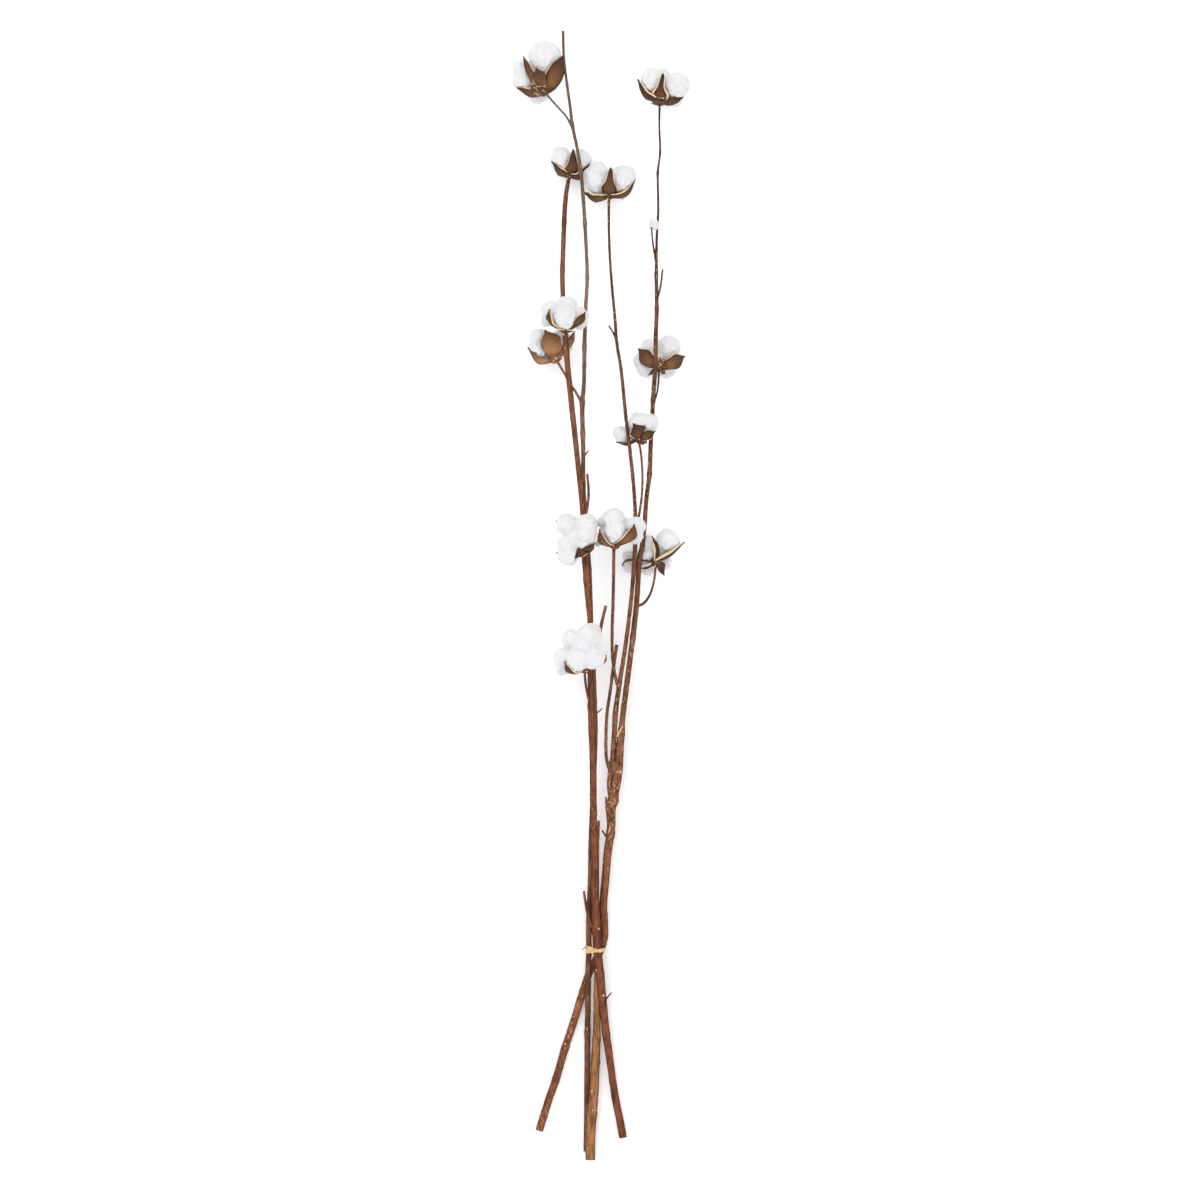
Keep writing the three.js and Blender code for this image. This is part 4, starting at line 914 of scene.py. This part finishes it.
def raffia_finish(name, base):
    """Dry raffia with fine lengthwise streaks."""
    made = Finish(name, roughness=0.55, specular=0.35)
    streaks = made.noise(scale=1500, stretch=(0.15, 1, 0.15), detail=4)
    wide = made.noise(scale=160, detail=2)
    grain = made.ramp(streaks, (0.3, scaled(base, 0.6)), (0.6, scaled(base, 1.15)))
    patch = made.ramp(wide, (0.3, scaled(base, 0.75)), (0.7, scaled(base, 1.2)))
    return made.finish(made.mix(0.5, grain, patch), streaks, 0.3 * MM)


# ------------------------------------------------------------------ stems

NODE_REACH = 3.2  # how far a swelling spreads along a stem, in millimetres
TRUNK_SIDES = 14
BRANCH_SIDES = 10
CUT_RIM = 0.25 * MM


def bark_tube(name, path, step, sides, nodes=()):
    """A tapering tube of bark along a path, with closed ends."""
    samples = along(path, step / MM)
    bpy.ops.curve.primitive_bezier_curve_add()
    tube = bpy.context.object
    tube.name = name
    curve = tube.data
    curve.splines.clear()
    line = curve.splines.new("POLY")
    line.points.add(len(samples) - 1)
    for knot, (point, radius) in zip(line.points, samples):
        swell = sum(more * math.exp(-((point.y - y) / NODE_REACH) ** 2) for y, more in nodes)
        knot.co = (*placed(point), 1)
        knot.radius = radius + swell
    curve.dimensions = "3D"
    curve.bevel_depth = MM
    curve.bevel_resolution = (sides - 4) // 2
    curve.use_fill_caps = True
    pick(tube)
    bpy.ops.object.convert(target="MESH")
    return bpy.context.object


def trim_ends(tube):
    """Gives the two closed ends of a tube a shallow rim and the look of cut wood."""
    pick(tube)
    bpy.ops.object.mode_set(mode="EDIT")
    bpy.ops.mesh.select_mode(type="FACE")
    bpy.ops.mesh.select_all(action="DESELECT")
    bpy.ops.mesh.select_face_by_sides(number=4, type="GREATER", extend=False)
    bpy.ops.mesh.inset(thickness=CUT_RIM, depth=-CUT_RIM)
    tube.active_material_index = 1
    bpy.ops.object.material_slot_assign()
    bpy.ops.object.mode_set(mode="OBJECT")


def bark_lens(path, y, turn, size):
    """A small lens on the bark: the scar of a leaf stalk, or a pit, which the bark paints dark as painted
    shade of a hollow.
    """
    point, radius = nearest(path, y, 4)
    angle = math.radians(turn)
    spot = placed(point + Vector((math.cos(angle), 0, math.sin(angle))) * radius * 0.9)
    bpy.ops.mesh.primitive_uv_sphere_add(segments=12, ring_count=8, radius=MM, location=spot)
    lens = bpy.context.object
    lens.scale = (size * 0.75, size * 0.9, size * 0.4)
    lens.rotation_euler = (0, math.radians(90) - angle, 0)
    settle(lens)
    return lens


def paint_sides(thing):
    """Stores how far each vertex faces sideways, away from the light: 0 up or down, 1 level. The finishes
    paint shade on the flanks with it.
    """
    paint(thing, "side", [1 - abs(vertex.normal.z) for vertex in thing.data.vertices])


def grow_stem(name, plan, settings, bark, cut, rough):
    """One whole stem with its branches, swellings, torn wood, scars and pits."""
    tubes = [bark_tube(name, plan["trunk"], settings.ring, TRUNK_SIDES, plan["nodes"])]
    for path in plan["branches"]:
        tubes.append(bark_tube(name + "_branch", path, settings.ring, BRANCH_SIDES))
    for tube in tubes:
        give(tube, bark, cut)
        trim_ends(tube)
        displace(tube, rough, settings.depth)
        apply_modifiers(tube)
        keep_up(tube)
        paint_sides(tube)
    for path in plan.get("splinters", ()):
        splinter = bark_tube(name + "_splinter", path, settings.ring / 2, 8)
        give(splinter, bark, cut)
        paint_all(splinter, "scar", 0.9)
        tubes.append(splinter)
    for mark, strength in (("scar", 0.8), ("pit", 0.9)):
        for y, turn, size in plan[mark + "s"]:
            lens = bark_lens(plan["trunk"], y, turn, size)
            give(lens, bark, cut)
            paint_all(lens, mark, strength)
            tubes.append(lens)
    stem = join(name, tubes)
    bpy.ops.object.shade_smooth_by_angle(angle=math.radians(50))
    return stem


class COTTON_OT_stems(Operator):
    """Grow the four stems"""
    bl_idname = "cotton_bunch.stems"
    bl_label = "Stems"

    def execute(self, context):
        settings = context.scene.cotton_bark
        rough = clouds("bark_lumps", 3.5 * MM, 2)
        cut = cut_finish(settings)
        plans = [
            ("left_front", STEM_LEFT_FRONT, "bark_dark", settings.dark, settings.dark_top, 0.3),
            ("left_back", STEM_LEFT_BACK, "bark_grey", settings.grey, settings.grey_top, 0.34),
            ("right", STEM_RIGHT, "bark_orange", settings.orange, settings.orange_top, 0.6),
            ("short", STEM_SHORT, "bark_tan", settings.tan, settings.tan_top, 0.12),
        ]
        for name, plan, slot, low, high, specks in plans:
            bark = bark_finish(slot, low, high, settings, specks)
            stem = grow_stem("bark_" + name, plan, settings, bark, cut, rough)
            hand_over(stem, "stem_" + name)
        return {"FINISHED"}


# ------------------------------------------------------------------ burrs

VALVE_ROWS = 16
VALVE_COLUMNS = 10
VALVE_CUP = 0.36  # how far a valve's edges turn in, of its half width
VALVE_ROOT = 1.2  # how far up the calyx a valve starts, in millimetres
# how far a valve's edges wave, its tip bends back, its edges flare and its middle line stands out
WAVE, HOOK, FLARE, KEEL = 0.45, 2.2, 1.1, 0.5
WRINKLE = 1 * MM  # how uneven a valve is
CALYX = (5.6, 5.6, 2.7)  # half its width, depth and height, in millimetres
CRUMPLE = 3.4 * MM  # how uneven the calyx is
# the half width of a valve from the calyx to its tip: oval, and drawn out to a narrow point
OVAL = [
    (0, 0.5), (0.12, 0.78), (0.28, 0.95), (0.45, 1), (0.62, 0.94), (0.77, 0.76), (0.88, 0.44),
    (0.94, 0.16), (1, 0.05),
]
DRAWN = [
    (0, 0.55), (0.12, 0.86), (0.26, 1), (0.38, 0.95), (0.5, 0.76), (0.62, 0.58), (0.74, 0.48),
    (0.84, 0.4), (0.92, 0.24), (1, 0.05),
]


def at_share(outline, t):
    """The value of an outline at t."""
    for (a, low), (b, high) in zip(outline, outline[1:]):
        if t <= b:
            return low + (high - low) * (t - a) / (b - a)
    return outline[-1][1]


def valve_share(t, shape):
    """How wide a valve is at t, from the calyx at 0 to its tip at 1."""
    return max(0.03, at_share(OVAL, t) * (1 - shape) + at_share(DRAWN, t) * shape)


def model_valve():
    """One flat valve, modelled once: its length runs along Y from 0 to 1, its half width is 1."""
    bpy.ops.mesh.primitive_grid_add(
        x_subdivisions=VALVE_COLUMNS, y_subdivisions=VALVE_ROWS, size=2, location=(0, 0, 0),
    )
    valve = bpy.context.object
    valve.name = "valve_pattern"
    edit_all(valve)
    bpy.ops.transform.resize(value=(1, 0.5, 1))
    bpy.ops.transform.translate(value=(0, 0.5, 0))
    bpy.ops.object.mode_set(mode="OBJECT")
    return valve


def lock_sum(boll):
    """The places of a boll's locks, added up."""
    return sum((Vector(lock[:3]) for lock in boll["locks"]), Vector())


def boll_axis(boll):
    """The mean direction in which a boll's cotton grows."""
    return lock_sum(boll).normalized()


def valve_point(boll, valve, column, t, widen=0.0):
    """A place on a valve's middle sheet: column from -1 to 1 across it, t from the calyx to its tip."""
    tip, belly, half, shape = Vector(valve[0]), Vector(valve[1]), valve[2], valve[3]
    start = boll_axis(boll) * VALVE_ROOT
    swell = belly * 2 - (start + tip) / 2
    place = start * (1 - t) ** 2 + swell * 2 * t * (1 - t) + tip * t ** 2
    heading = ((swell - start) * 2 * (1 - t) + (tip - swell) * 2 * t).normalized()
    outward = belly - (start + tip) / 2
    side = heading.cross(outward).normalized()
    face = side.cross(heading).normalized()
    reach = half * valve_share(t, shape) + widen
    lift = -VALVE_CUP * reach * column * column
    return place + side * column * reach + face * lift, face


def bend_valve(pattern, boll, valve, settings, wrinkles, phase):
    """A copy of the flat valve, widened, cupped and bent along its middle line."""
    blade = copy_of(pattern)
    base = Vector(boll["base"])
    margin = extra(valve, 0)
    rims, shades, rises = [], [], []
    for vertex in blade.data.vertices:
        column, t = vertex.co.x, min(1, max(0, vertex.co.y))
        place, face = valve_point(boll, valve, column, t)
        across, _ = valve_point(boll, valve, -column, t)
        # how far this edge lies under the opposite edge, where painted shade goes on its rim and inside
        under = min(1, max(0, (across.z - place.z - 1) / 3))
        bow = math.sin(math.pi * t)
        wave = WAVE * math.sin(9 * t + phase + 2 * column) * abs(column) * bow
        hook = HOOK * max(0, (t - 0.82) / 0.18) ** 2
        flare = FLARE * max(0, abs(column) - 0.7) / 0.3 * bow
        keel = KEEL * math.exp(-(column / 0.14) ** 2) * bow
        vertex.co = placed(base + place + face * (wave + hook + flare + keel))
        # the pale rim is painted weaker where the edge lies under; the shade mask is painted shade, full
        # on a valve without a margin, else as far as the edge lies under
        rims.append(min(1, abs(column) + margin) * (1 - 0.25 * under))
        shades.append(1 if margin < 0 else under)
        rises.append(t)
    blade.data.update()
    paint(blade, "rim", rims)
    paint(blade, "shade", shades)
    paint(blade, "rise", rises)
    displace(blade, wrinkles, WRINKLE)
    wall = thicken(blade, settings.wall)
    wall.material_offset = 1
    wall.material_offset_rim = 2
    wall.use_quality_normals = True
    return blade


def calyx(boll, crumple):
    """The crumpled cup at the foot of a burr."""
    axis = boll_axis(boll)
    middle = placed(Vector(boll["base"]) + axis * 1.8)
    bpy.ops.mesh.primitive_ico_sphere_add(subdivisions=4, radius=MM, location=middle)
    foot = bpy.context.object
    foot.scale = CALYX
    foot.rotation_euler = axis.to_track_quat("Z", "Y").to_euler()
    settle(foot)
    paint_all(foot, "rim", 0.2)
    paint_all(foot, "rise", 0.25)
    displace(foot, crumple, CRUMPLE)
    return foot


TURN = 2.4  # the angle from one leaflet to the next, which spreads them evenly
LEAFLET_ROWS = 5
LEAFLET_LENGTH = (3, 6.5)
LEAFLET_WIDTH = (0.4, 1.05)  # half of it, in millimetres
LEAFLET_WALL = 0.55 * MM
# how pale the middle and the edges of the leaflets are, in turn: 1 has the colour of the rims
LEAFLET_TONES = [(0.9, 1), (0.4, 0.97), (0.3, 0.5), (0.3, 0.75), (0.3, 0.9), (0.35, 0.6), (0.3, 0.86)]


def leaflets(boll, chance):
    """The dry leaflets folded round the foot of a burr, as one mesh of bent ribbons."""
    x, y, z, spread, count = boll["crumple"]
    base = Vector(boll["base"])
    points, faces, rims = [], [], []
    for k in range(count):
        angle = TURN * k
        away = spread * math.sqrt((k + 0.5) / count) * chance.uniform(0.8, 1.1)
        level = z - 0.35 * away + chance.uniform(-0.8, 0.8)
        place = Vector((x + away * math.cos(angle), y + away * math.sin(angle), level))
        turn = angle + chance.uniform(-1, 1)
        heading = Vector((math.cos(turn), math.sin(turn), chance.uniform(-0.5, 0.5))).normalized()
        curl = any_way(chance)
        length = chance.uniform(*LEAFLET_LENGTH)
        width = chance.uniform(*LEAFLET_WIDTH)
        middle, edge = LEAFLET_TONES[k % len(LEAFLET_TONES)]
        place -= heading * length / 2
        faces += grid_faces(len(points), LEAFLET_ROWS, 3)
        for i in range(LEAFLET_ROWS):
            t = i / (LEAFLET_ROWS - 1)
            across = heading.cross(Vector((0.2, 0.1, 1))).normalized()
            up = across.cross(heading)
            reach = width * (0.12 + 0.88 * math.sin(math.pi * min(1, 0.15 + 0.85 * t)))
            for column in (-1, 0, 1):
                fold = up * (0.6 * reach * column * column)
                points.append(placed(base + place + across * reach * column + fold))
                rims.append(edge if column else middle)
            place = place + heading * length / (LEAFLET_ROWS - 1)
            heading = (heading + curl * 0.3).normalized()
    ribbons = from_points("leaflets", points, faces)
    paint(ribbons, "rim", rims)
    paint_all(ribbons, "rise", 0.5)
    thicken(ribbons, LEAFLET_WALL)
    return ribbons


class COTTON_OT_husks(Operator):
    """Build the dried burrs"""
    bl_idname = "cotton_bunch.husks"
    bl_label = "Burrs"

    def execute(self, context):
        settings = context.scene.cotton_husk
        wrinkles = clouds("husk_wrinkles", 4 * MM, 3)
        crumple = clouds("husk_crumple", 3 * MM, 3)
        inner = rim_finish("husk_inside", settings.inner)
        rim = rim_finish("husk_rim", settings.rim)
        pattern = model_valve()
        chance = random.Random(SEED)
        for name, boll in BOLLS.items():
            base = between(settings.dark, settings.ochre, boll["tone"] ** 1.6)
            outer = husk_finish("husk_" + name, base, settings)
            parts = []
            for valve in boll["valves"]:
                phase = chance.uniform(0, 6)
                parts.append(bend_valve(pattern, boll, valve, settings, wrinkles, phase))
            parts.append(calyx(boll, crumple))
            parts.append(leaflets(boll, chance))
            for part in parts:
                give(part, outer, inner, rim)
                apply_modifiers(part)
                paint_sides(part)
            husk = join("husk_" + name, parts)
            keep_up(husk)
            bpy.ops.object.shade_smooth_by_angle(angle=math.radians(60))
            hand_over(husk, "burr_" + name)
        bpy.data.objects.remove(pattern)
        return {"FINISHED"}


# ------------------------------------------------------------------ cotton

PUFF = 3.4 * MM  # how far the cotton is puffed up in large lumps
FLUFF = 0.9 * MM  # and in small ones
FIRST_PRESS = 1.1 * MM  # how far the cotton is kept off the middle of the valves, before it is puffed up
LAST_PRESS = 0.75 * MM  # and after it
WOOD_GAP = 0.3 * MM  # how far it is kept off the stems
DOUBLE = 0.02 * MM  # points of a frame piece that are nearer than this are one
LOWEST_ROOT = 0.8 * MM  # no fibre starts lower than this
ROOT_DEPTH = 0.3 * MM  # how deep in the cotton a fibre starts
HAIR = (0.03, 0.06)  # how thick a fibre is, as a radius in millimetres
HAIR_ROWS = 4
TUFT_SHARE = 6  # the small tuft has this many times fewer fibres than a boll


def lump(base, lock):
    """One lock of cotton: a ball, drawn out along its way from the base if it has a stretch."""
    way, radius = Vector(lock[:3]), lock[3]
    bpy.ops.mesh.primitive_ico_sphere_add(subdivisions=4, radius=MM, location=placed(base + way))
    ball = bpy.context.object
    ball.scale = (radius, radius, radius * extra(lock, 1))
    ball.rotation_euler = way.to_track_quat("Z", "Y").to_euler()
    settle(ball)
    return ball


def melt(thing, grain, rounds):
    """Melts the lumps of a mesh into one soft surface."""
    modifier = thing.modifiers.new("grain", "REMESH")
    modifier.mode = "VOXEL"
    modifier.voxel_size = grain
    smooth_out(thing, 0.6, rounds)
    apply_modifiers(thing)


def blade_tree(boll):
    """The middle sheets of a boll's valves, a little wider than they are, for measuring against."""
    points, faces = [], []
    rows, columns, widen = 13, 7, 1.2
    base = Vector(boll["base"])
    for valve in boll["valves"]:
        faces += grid_faces(len(points), rows, columns)
        for i in range(rows):
            for j in range(columns):
                column, t = 2 * j / (columns - 1) - 1, i / (rows - 1)
                place, _ = valve_point(boll, valve, column, t, widen)
                points.append(placed(base + place))
    return BVHTree.FromPolygons(points, faces)


def cup(lint, boll, clearance):
    """Keeps the cotton inside its burr: what lies beyond a valve is pressed back in front of it."""
    tree = blade_tree(boll)
    middle = lock_sum(boll) / len(boll["locks"])
    heart = placed(Vector(boll["base"]) + middle * 0.8)
    for vertex in lint.data.vertices:
        way = vertex.co - heart
        reach = way.length
        way.normalize()
        hit, _, _, distance = tree.ray_cast(heart, way, reach + clearance)
        if hit is not None:
            vertex.co = heart + way * max(distance - clearance, 0)
    lint.data.update()


def clear_wood(lint, wood, clearance):
    """Moves the cotton off the stems and off the surface that the bunch lies on."""
    for vertex in lint.data.vertices:
        for place, index, distance in wood["tree"].find_n(vertex.co, 2):
            reach = wood["radii"][index] + clearance
            if distance < reach:
                off = vertex.co - place
                off -= wood["ways"][index] * off.dot(wood["ways"][index])
                if 0 < off.length < reach:
                    vertex.co += off.normalized() * (reach - off.length)
    keep_up(lint)
    lint.data.update()


def all_wood():
    """Places, directions and radii along all the stems, for keeping cotton off them."""
    samples = []
    for plan in STEMS:
        for path in (plan["trunk"], *plan["branches"]):
            points = along(path, 1)
            for (point, radius), (ahead, _) in zip(points, points[1:]):
                samples.append((placed(point), (ahead - point).normalized(), radius * MM))
    tree = KDTree(len(samples))
    for index, (point, _, _) in enumerate(samples):
        tree.insert(point, index)
    tree.balance()
    ways = [way for _, way, _ in samples]
    radii = [radius for _, _, radius in samples]
    return {"tree": tree, "ways": ways, "radii": radii}


def fluff_up(name, boll, settings, wood, puff, fluff):
    """A boll's whole head of cotton."""
    base = Vector(boll["base"])
    lint = join(name, [lump(base, lock) for lock in boll["locks"]])
    melt(lint, settings.grain, 10)
    cup(lint, boll, FIRST_PRESS)
    smooth_out(lint, 0.5, 5)
    displace(lint, puff, PUFF)
    displace(lint, fluff, FLUFF, 0.45)
    apply_modifiers(lint)
    cup(lint, boll, LAST_PRESS)
    clear_wood(lint, wood, WOOD_GAP)
    return lint


def soften(node, name, settings, wood, puff, fluff):
    """A soft copy of one of the frame's plain tufts of cotton."""
    lint = copy_of(frame["nodes"][node])
    lint.parent = None
    lint.name = name
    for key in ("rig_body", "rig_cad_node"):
        if key in lint:
            del lint[key]
    edit_all(lint)
    bpy.ops.mesh.remove_doubles(threshold=DOUBLE)
    bpy.ops.object.mode_set(mode="OBJECT")
    melt(lint, settings.grain / 2, 6)
    displace(lint, puff, 2.5 * MM, 0.3)
    displace(lint, fluff, 1.4 * MM, 0.4)
    apply_modifiers(lint)
    clear_wood(lint, wood, 0.2 * MM)
    return lint


def fibres(lint, count, longest, chance):
    """Loose fibres standing off a head of cotton, as one mesh of thin tapering hairs."""
    mesh = lint.data
    mesh.calc_loop_triangles()
    areas = []
    total = 0
    for face in mesh.loop_triangles:
        total += face.area
        areas.append(total)
    points, faces = [], []
    for _ in range(count):
        pick_at = bisect.bisect(areas, chance.uniform(0, total))
        face = mesh.loop_triangles[min(len(areas) - 1, pick_at)]
        corners = [mesh.vertices[i].co for i in face.vertices]
        a, b = sorted((chance.random(), chance.random()))
        root = corners[0] * a + corners[1] * (b - a) + corners[2] * (1 - b)
        if root.z < LOWEST_ROOT:
            continue
        up = face.normal
        lean = any_way(chance)
        lean = (lean - up * lean.dot(up)).normalized()
        heading = (up * chance.uniform(0.15, 0.8) + lean).normalized()
        curl = up.cross(lean) * chance.uniform(-0.7, 0.7) - up * chance.uniform(0.1, 0.6)
        length = longest * chance.uniform(0.25, 1) ** 1.4
        radius = chance.uniform(*HAIR) * MM
        place = root - up * ROOT_DEPTH
        first = len(points)
        for k in range(HAIR_ROWS):
            slim = radius * (1 - 0.8 * k / (HAIR_ROWS - 1))
            aside = heading.orthogonal().normalized()
            other = heading.cross(aside)
            for j in range(3):
                angle = 2 * math.pi * j / 3
                spot = place + (aside * math.cos(angle) + other * math.sin(angle)) * slim
                spot.z = max(spot.z, FLOOR_GAP / 2)
                points.append(spot)
            place = place + heading * length / (HAIR_ROWS - 1)
            heading = (heading + curl * 0.6).normalized()
        faces += grid_faces(first, HAIR_ROWS, 3, closed=True)
        end = len(points) - 3
        faces += [(first + 2, first + 1, first), (end, end + 1, end + 2)]
    return from_points("fibres", points, faces)


class COTTON_OT_lint(Operator):
    """Fill the burrs with cotton"""
    bl_idname = "cotton_bunch.lint"
    bl_label = "Cotton"

    def execute(self, context):
        settings = context.scene.cotton_lint
        white = lint_finish(settings)
        puff = clouds("lint_puffs", 7 * MM, 1)
        fluff = clouds("lint_fluff", 2 * MM, 2)
        chance = random.Random(SEED)
        wood = all_wood()
        heads = []
        for name, boll in BOLLS.items():
            head = fluff_up("lint_" + name, boll, settings, wood, puff, fluff)
            heads.append((head, "cotton_" + name, settings.fibres))
        tuft = soften("cotton_tuft", "lint_tuft", settings, wood, puff, fluff)
        heads.append((tuft, "cotton_tuft", settings.fibres // TUFT_SHARE))
        for head, node, hairs in heads:
            loose = fibres(head, hairs, settings.fibre_length, chance)
            give(head, white)
            give(loose, white)
            lint = join(head.name, [head, loose])
            bpy.ops.object.shade_smooth()
            hand_over(lint, node)
        return {"FINISHED"}


# ------------------------------------------------------------------ tie

ROUND = 24  # points on the outline of one stem


def outline_round(points):
    """The outline round flat points, counter-clockwise."""
    def turn(o, p, q):
        return (p[0] - o[0]) * (q[1] - o[1]) - (p[1] - o[1]) * (q[0] - o[0])

    def half(ordered):
        chain = []
        for point in ordered:
            while len(chain) > 1 and turn(chain[-2], chain[-1], point) <= 0:
                chain.pop()
            chain.append(point)
        return chain[:-1]

    ordered = sorted(points)
    return half(ordered) + half(ordered[::-1])


def bundle_outline(y, gap):
    """The outline of the four stems across them at y, in x and z, a gap away from them."""
    points = []
    for plan in STEMS:
        point, radius = nearest(plan["trunk"], y, 0.5)
        reach = radius + gap
        for k in range(ROUND):
            angle = 2 * math.pi * k / ROUND
            points.append((point.x + reach * math.cos(angle), point.z + reach * math.sin(angle)))
    return outline_round(points)


# the section of a strand, as shares of its half width and as millimetres outwards
STRAND = [(-1, 0), (-0.8, 0.3), (0, 0.42), (0.8, 0.3), (1, 0), (0.8, -0.1), (-0.8, -0.1)]
STRAND_STEPS = 80
STRAND_SPACING = 1.5  # between the middle lines of the turns, in millimetres
TIE_GAP = 0.6  # between the stems and the tie, in millimetres
OVERLAP = 0.14  # how much further out every second turn lies
CREASE = 0.5 * MM  # how uneven the raffia is


def even_ring(outline, count):
    """Points at even distances round a closed outline, with the direction in which each faces."""
    corners = [Vector((x, 0, z)) for x, z in outline]
    sides = list(zip(corners, corners[1:] + corners[:1]))
    whole = sum((b - a).length for a, b in sides)
    points = []
    for k in range(count):
        rest = whole * k / count
        for a, b in sides:
            if rest <= (b - a).length:
                break
            rest -= (b - a).length
        points.append(a.lerp(b, rest / (b - a).length))
    ring = []
    for k, point in enumerate(points):
        way = points[(k + 1) % count] - points[k - 1]
        ring.append((point, Vector((way.z, 0, -way.x)).normalized()))
    return ring


def wind(k, settings):
    """One turn of raffia round the stems: a flat ribbon that narrows to the right."""
    middle = settings.middle / MM
    ring = even_ring(bundle_outline(middle, TIE_GAP + OVERLAP * (k % 2)), STRAND_STEPS)
    low = min(point.x for point, _ in ring)
    high = max(point.x for point, _ in ring)
    points, faces = [], []
    for point, out in ring:
        share = (point.x - low) / (high - low)
        pinch = 1.2 - 0.9 * share - 0.45 * math.exp(-((share - 0.58) / 0.13) ** 2)
        half = 1.22 - 0.5 * share
        beside = STRAND_SPACING * (k - (settings.strands - 1) / 2) * pinch
        y = middle + beside + 0.45 * math.sin(7 * share + 2.3 * k)
        for across, rise in STRAND:
            points.append(placed(Vector((point.x, y + across * half, point.z)) + out * rise))
    sides = len(STRAND)
    for i in range(STRAND_STEPS):
        after = (i + 1) % STRAND_STEPS
        for j in range(sides):
            following = (j + 1) % sides
            here, there = i * sides, after * sides
            faces.append((here + j, there + j, there + following, here + following))
    strand = from_points("strand", points, faces)
    edit_all(strand)
    bpy.ops.mesh.normals_make_consistent(inside=False)
    bpy.ops.object.mode_set(mode="OBJECT")
    return strand


class COTTON_OT_tie(Operator):
    """Wind the raffia tie"""
    bl_idname = "cotton_bunch.tie"
    bl_label = "Tie"

    def execute(self, context):
        settings = context.scene.cotton_tie
        straw = raffia_finish("dry_raffia", settings.straw)
        creases = clouds("raffia_creases", 2.5 * MM, 2)
        strands = [wind(k, settings) for k in range(settings.strands)]
        for strand in strands:
            give(strand, straw)
            displace(strand, creases, CREASE)
            apply_modifiers(strand)
        end = bark_tube("raffia_end", RAFFIA_END, 0.6 * MM, 8)
        give(end, raffia_finish("grey_raffia", scaled(settings.straw, 0.3)))
        tie = join("raffia_strands", [*strands, end])
        bpy.ops.object.shade_smooth_by_angle(angle=math.radians(40))
        hand_over(tie, "raffia_tie")
        return {"FINISHED"}


# ------------------------------------------------------------------ stage

SENSOR = 36  # width of the camera's sensor in millimetres
SURFACE = 12  # side of the surface in metres
KEY_TILT = (math.radians(-28), math.radians(-24), 0)
KEY_SOFTNESS = math.radians(35)


class COTTON_OT_stage(Operator):
    """Set up the surface, the light and the camera"""
    bl_idname = "cotton_bunch.stage"
    bl_label = "Stage"

    def execute(self, context):
        settings = context.scene.cotton_stage
        deselect()
        bpy.ops.mesh.primitive_plane_add(size=SURFACE, location=(0, 0, 0))
        surface = bpy.context.object
        surface.name = "pale_surface"
        pale = Finish("pale_surface", 0.9, 0.1)
        grain = pale.noise(40, detail=3)
        pale.shader.inputs["Emission Color"].default_value = (1, 1, 1, 1)
        pale.shader.inputs["Emission Strength"].default_value = settings.glow
        stops = (0.3, scaled(settings.floor, 0.99)), (0.7, settings.floor)
        give(surface, pale.finish(pale.ramp(grain, *stops)))
        world = bpy.data.worlds.new("soft_room")
        world.use_nodes = True
        tree = world.node_tree
        backdrop = tree.nodes["Background"]
        backdrop.inputs["Color"].default_value = (1, 1, 1, 1)
        way = add_node(tree, "ShaderNodeTexCoord").outputs["Generated"]
        level = add_node(tree, "ShaderNodeSeparateXYZ", {"Vector": way}).outputs["Z"]
        ends = {"To Min": settings.horizon, "To Max": settings.zenith}
        climb = add_node(tree, "ShaderNodeMapRange", {"Value": level}, ends)
        tree.links.new(climb.outputs["Result"], backdrop.inputs["Strength"])
        context.scene.world = world
        bpy.ops.object.light_add(type="SUN", location=(-2, 2, 5), rotation=KEY_TILT)
        key = bpy.context.object
        key.name = "key_light"
        key.data.energy = settings.key
        key.data.angle = KEY_SOFTNESS
        middle = placed((0, 0, 0))
        over = (middle.x, middle.y, settings.height)
        bpy.ops.object.camera_add(location=over, rotation=(0, 0, 0))
        camera = bpy.context.object
        camera.data.type = "PERSP"
        camera.data.sensor_width = SENSOR
        camera.data.lens = SENSOR * (settings.height - VIEW_LEVEL) / VIEW_SIZE
        camera.data.clip_end = 100
        context.scene.camera = camera
        context.scene.view_settings.view_transform = "Standard"
        return {"FINISHED"}


class COTTON_PT_bunch(Panel):
    """The pieces of the bunch and their settings"""
    bl_idname = "COTTON_PT_bunch"
    bl_label = "Cotton Bunch"
    bl_space_type = "VIEW_3D"
    bl_region_type = "UI"
    bl_category = "Cotton Bunch"

    def draw(self, context):
        layout = self.layout
        groups = (
            ("cotton_bark", "cotton_bunch.stems"),
            ("cotton_husk", "cotton_bunch.husks"),
            ("cotton_lint", "cotton_bunch.lint"),
            ("cotton_tie", "cotton_bunch.tie"),
            ("cotton_stage", "cotton_bunch.stage"),
        )
        for group, operator in groups:
            box = layout.box()
            box.operator(operator)
            settings = getattr(context.scene, group)
            for name in settings.__annotations__:
                box.prop(settings, name)


CLASSES = (
    BarkSettings, HuskSettings, LintSettings, TieSettings, StageSettings,
    COTTON_OT_stems, COTTON_OT_husks, COTTON_OT_lint, COTTON_OT_tie, COTTON_OT_stage,
    COTTON_PT_bunch,
)
SETTINGS = {
    "cotton_bark": BarkSettings,
    "cotton_husk": HuskSettings,
    "cotton_lint": LintSettings,
    "cotton_tie": TieSettings,
    "cotton_stage": StageSettings,
}


def register():
    for item in CLASSES:
        bpy.utils.register_class(item)
    for name, kind in SETTINGS.items():
        setattr(bpy.types.Scene, name, PointerProperty(type=kind))


def unregister():
    for name in SETTINGS:
        delattr(bpy.types.Scene, name)
    for item in reversed(CLASSES):
        bpy.utils.unregister_class(item)


def main():
    """Builds the whole bunch."""
    register()
    bpy.ops.cotton_bunch.stems()
    bpy.ops.cotton_bunch.husks()
    bpy.ops.cotton_bunch.lint()
    bpy.ops.cotton_bunch.tie()
    bpy.ops.cotton_bunch.stage()
    bpy.context.view_layer.update()


if __name__ == "__main__":
    main()
